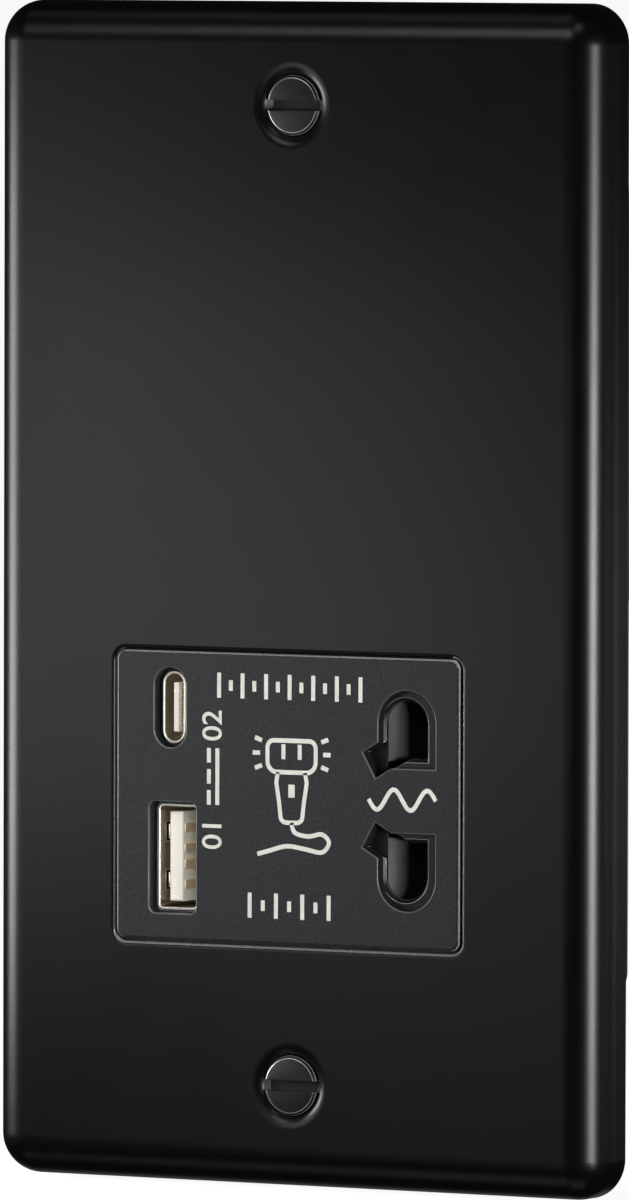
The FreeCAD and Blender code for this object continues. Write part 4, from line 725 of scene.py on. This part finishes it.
def make_fixing_screw(name, z):
    """Slotted countersunk screw with a bevelled top, a plain neck and a thread."""
    rim, cone = HEAD_TOP + HEAD_BEVEL, HEAD_TOP + HEAD_BEVEL + HEAD_RIM
    neck = cone + HEAD_R - NECK_R
    start = neck + NECK_L
    profile = [(0.0, HEAD_TOP), (HEAD_BEVEL_R - HEAD_TURN, HEAD_TOP)]
    profile += [(HEAD_BEVEL_R + HEAD_EASE, HEAD_TOP + HEAD_EASE), (HEAD_R - HEAD_TURN, rim - 2 * HEAD_EASE)]
    profile += [(HEAD_R, rim + HEAD_EASE), (HEAD_R, cone - HEAD_EASE), (HEAD_R - HEAD_EASE, cone + HEAD_EASE)]
    profile += [(NECK_R, neck), (NECK_R, start + NECK_OVERLAP), (0.0, start + NECK_OVERLAP)]
    head = turned("head", profile, 0, z)
    long, half = HEAD_R + CLEAR, SLOT_W / 2
    block = [(-long, -half), (long, -half), (long, half), (-long, half)]
    slot = stack("slot", [placed(block, HEAD_TOP - CLEAR, 0, z), placed(block, HEAD_TOP + SLOT_DEPTH, 0, z)])
    bool_with(head, slot, "DIFFERENCE")
    screw = joined(name, [head, thread("bar", 0, z, start, HEAD_TOP + SCREW_L)])
    smooth(screw, 40)
    paint(screw, "screw_black", "painted_highlight_edge")
    # Painted highlights on the rings of the head's bevel
    paint_highlight_rings(screw, z, rim)
    return screw


def joined(name, parts):
    """One object from several."""
    work = bmesh.new()
    for part in parts:
        work.from_mesh(part.data)
        bpy.data.objects.remove(part)
    data = bpy.data.meshes.new(name)
    work.to_mesh(data)
    work.free()
    return add_object(name, data)


# Print on the insert's face

def stroke(name, path, width=STROKE_W, closed=False):
    """Flat printed line with square ends along a path of (x, z) points."""
    count = len(path)
    rings = []
    for i, (x, z) in enumerate(path):
        before = path[i - 1] if (i or closed) else path[i]
        after = path[(i + 1) % count] if (i < count - 1 or closed) else path[i]
        a = Vector((x - before[0], z - before[1]))
        b = Vector((after[0] - x, after[1] - z))
        a = a.normalized() if a.length else b.normalized()
        b = b.normalized() if b.length else a
        along = (a + b).normalized()
        side = Vector((-along.y, along.x)) * (width / 2 / max(along.dot(a), MITRE_LIMIT))
        rings.append([(x + side.x, PRINT_FACE, z + side.y), (x - side.x, PRINT_FACE, z - side.y),
                      (x - side.x, PRINT_BACK, z - side.y), (x + side.x, PRINT_BACK, z + side.y)])
    if not closed:
        return stack(name, rings)
    verts = [p for ring in rings for p in ring]
    faces = []
    for i in range(count):
        j = (i + 1) % count
        for k in range(4):
            n = (k + 1) % 4
            faces.append((4 * i + k, 4 * i + n, 4 * j + n, 4 * j + k))
    return new_piece(name, verts, faces)


def bend(cx, cz, r, start, end, steps):
    """Points along an arc of a circle in the face."""
    turns = [math.radians(start + (end - start) * i / steps) for i in range(steps + 1)]
    return [(cx + r * math.cos(turn), cz + r * math.sin(turn)) for turn in turns]


def spline(points, steps=10):
    """Smooth line through the given points."""
    ends = [points[0]] + list(points) + [points[-1]]
    line = []
    for i in range(1, len(ends) - 2):
        p0, p1, p2, p3 = (Vector(p) for p in ends[i - 1:i + 3])
        for k in range(steps):
            t = k / steps
            line.append(tuple(0.5 * ((2 * p1) + (p2 - p0) * t + (2 * p0 - 5 * p1 + 4 * p2 - p3) * t * t
                                     + (3 * p1 - p0 - 3 * p2 + p3) * t ** 3)))
    line.append(tuple(points[-1]))
    return line


def digits(name, text, x, z):
    """Plain number printed upwards along Z, centred at a place."""
    data = bpy.data.curves.new(name, "FONT")
    data.body = text
    data.size = NUMBER_SIZE
    data.extrude = (PRINT_BACK - PRINT_FACE) / 2
    data.offset = NUMBER_WEIGHT
    data.align_x = "CENTER"
    data.align_y = "CENTER"
    data.resolution_u = NUMBER_STEPS
    source = add_object(name, data)
    graph = bpy.context.evaluated_depsgraph_get()
    mesh = bpy.data.meshes.new_from_object(source.evaluated_get(graph))
    bpy.data.objects.remove(source)
    middle = (PRINT_FACE + PRINT_BACK) / 2
    stand = Matrix(((0, -1, 0, x), (0, 0, -1, middle), (1, 0, 0, z), (0, 0, 0, 1)))
    mesh.transform(Matrix.Scale(MM, 4) @ stand)
    return add_object(name, mesh)


def make_shaver_sign():
    """Generic sign: an electric shaver with its foils, switch and cord, and marks of its hum."""
    cx, top = SIGN_X, SIGN_TOP
    head = bend(cx + 2.5, top - 0.9, 0.9, 90, 0, SIGN_STEPS)
    head += bend(cx + 2.1, top - 2.6, 1.3, 0, -90, SIGN_STEPS)
    head += [(2 * cx - x, z) for x, z in reversed(head)]
    body = [(cx - 1.9, top - 3.9), (cx - 2.15, top - 5.2), (cx - 1.75, top - 7.6)]
    body += bend(cx - 0.75, top - 9.3, 0.8, 180, 270, SIGN_STEPS)
    body += [(2 * cx - x, z) for x, z in reversed(body)]
    lines = [stroke("head", head, closed=True), stroke("body", body)]
    for side in (-1, 1):
        lines.append(stroke("foil", [(cx + side * 1.15, top - 0.45), (cx + side * 1.15, top - 2.3)]))
        for turn in SIGN_HUM_TURNS:
            a = math.radians(turn if side > 0 else 180 - turn)
            lines.append(stroke("hum", [(cx + far * math.cos(a), top - SIGN_HUM_DEPTH + far * math.sin(a))
                                        for far in SIGN_HUM]))
    lines.append(stroke("switch", [(cx, top - 5.4), (cx, top - 7.0)], width=SIGN_SWITCH_W))
    cord = spline([(cx, top - 10.1), (cx + 0.5, top - 11.3), (cx + 2.4, top - 11.7), (cx + 4.3, top - 11.4),
                   (cx + 5.3, top - 12.4), (cx + 4.3, top - 13.6), (cx + 2.0, top - 13.3),
                   (cx - 0.6, top - 13.0), (cx - 3.0, top - 13.6), (cx - 4.8, top - 14.1)])
    lines.append(stroke("cord", cord))
    return joined("sign_shaver", lines)


def make_scale(name, x0, x1, z0, z1):
    """Row of upright ticks in a box, every second one short."""
    count = 2 * round((x1 - x0) / TICK_PAIR) + 1
    ticks = []
    for i in range(count):
        x = x0 + STROKE_W / 2 + (x1 - x0 - STROKE_W) * i / (count - 1)
        lacks = TICK_SHORT if i % 2 else 0.0
        ticks.append(stroke("tick", [(x, z0 + lacks), (x, z1 - lacks)]))
    return joined(name, ticks)


def make_wave():
    """Sign for alternating current."""
    return stroke("sign_wave", [(WAVE_X + WAVE_W * i / WAVE_STEPS,
                                 WAVE_Z - WAVE_SWING * math.sin(4 * math.pi * i / WAVE_STEPS))
                                for i in range(WAVE_STEPS + 1)])


def make_direct_sign():
    """Sign for direct current."""
    bars = [stroke("bar", [(DIRECT_X, z) for z in DIRECT_ENDS])]
    bars += [stroke("bar", [(DASH_X, z), (DASH_X, z - DASH_L)]) for z in DASH_STARTS]
    return joined("sign_direct", bars)


def make_prints():
    """All the print: the shaver sign, tick scales, two signs for current and two numbers."""
    prints = [make_shaver_sign()]
    prints += [make_scale(*scale) for scale in SCALES]
    prints += [make_wave(), make_direct_sign()]
    prints += [digits(name, text, NUMBER_X, z) for name, text, z in NUMBERS]
    for piece in prints:
        paint(piece, "print_ink")
        dress(piece)
    return [piece.name for piece in prints]


# Dressing of the CAD nodes

def dress_nodes():
    """Material and rounded edges for every CAD node."""
    slots = {part["node"]: part["material_slot"] for part in frame["record"]["subparts"]}
    for name, node in frame["nodes"].items():
        node.data.materials.clear()
        paint(node, slots[name])
        node.data.shade_smooth()
        weld = node.modifiers.new("weld", "WELD")
        weld.merge_threshold = 1e-6
        bevel = node.modifiers.new("edges", "BEVEL")
        bevel.width = EDGE_WIDTHS.get(name, EDGE_W) * MM
        bevel.segments = 2
        bevel.limit_method = "ANGLE"
        bevel.angle_limit = math.radians(30)
        bevel.use_clamp_overlap = True
        # A lighter material on the bevelled edges of these nodes paints highlights on them
        if name in EDGE_HIGHLIGHT_MATERIALS:
            paint(node, EDGE_HIGHLIGHT_MATERIALS[name])
            bevel.material = 1
        weighted = node.modifiers.new("weighted", "WEIGHTED_NORMAL")
        weighted.weight = 100


make_camera()
make_world()
make_stage()
for number, values in enumerate(SOFT_LIGHTS):
    make_light("soft_%02d" % number, *values)

MATERIALS = make_materials()
dress_nodes()
dress(make_plate(), replaces=["front_plate"])
dress(make_insert(), replaces=["front_insert"])
SCREWS = {"fixing_screw_top": SCREW_Z, "fixing_screw_bottom": -SCREW_Z}
for name, z in SCREWS.items():
    dress(make_fixing_screw(name, z), replaces=["fixing_screws"])
PRINTS = make_prints()
light_for("detail_light", DETAIL_LIGHT, PRINTS + list(DETAIL_NODES))
light_for("screw_light", SCREW_LIGHT, SCREWS)
for number, values in enumerate(REAR_LIGHTS):
    light_for("rear_light_%d" % number, values, [node.name for node in frame["nodes"].values()])

scene = bpy.context.scene
scene.view_settings.view_transform = "Standard"
scene.view_settings.look = "None"
scene.view_settings.exposure = 0.0
scene.view_settings.gamma = 1.0
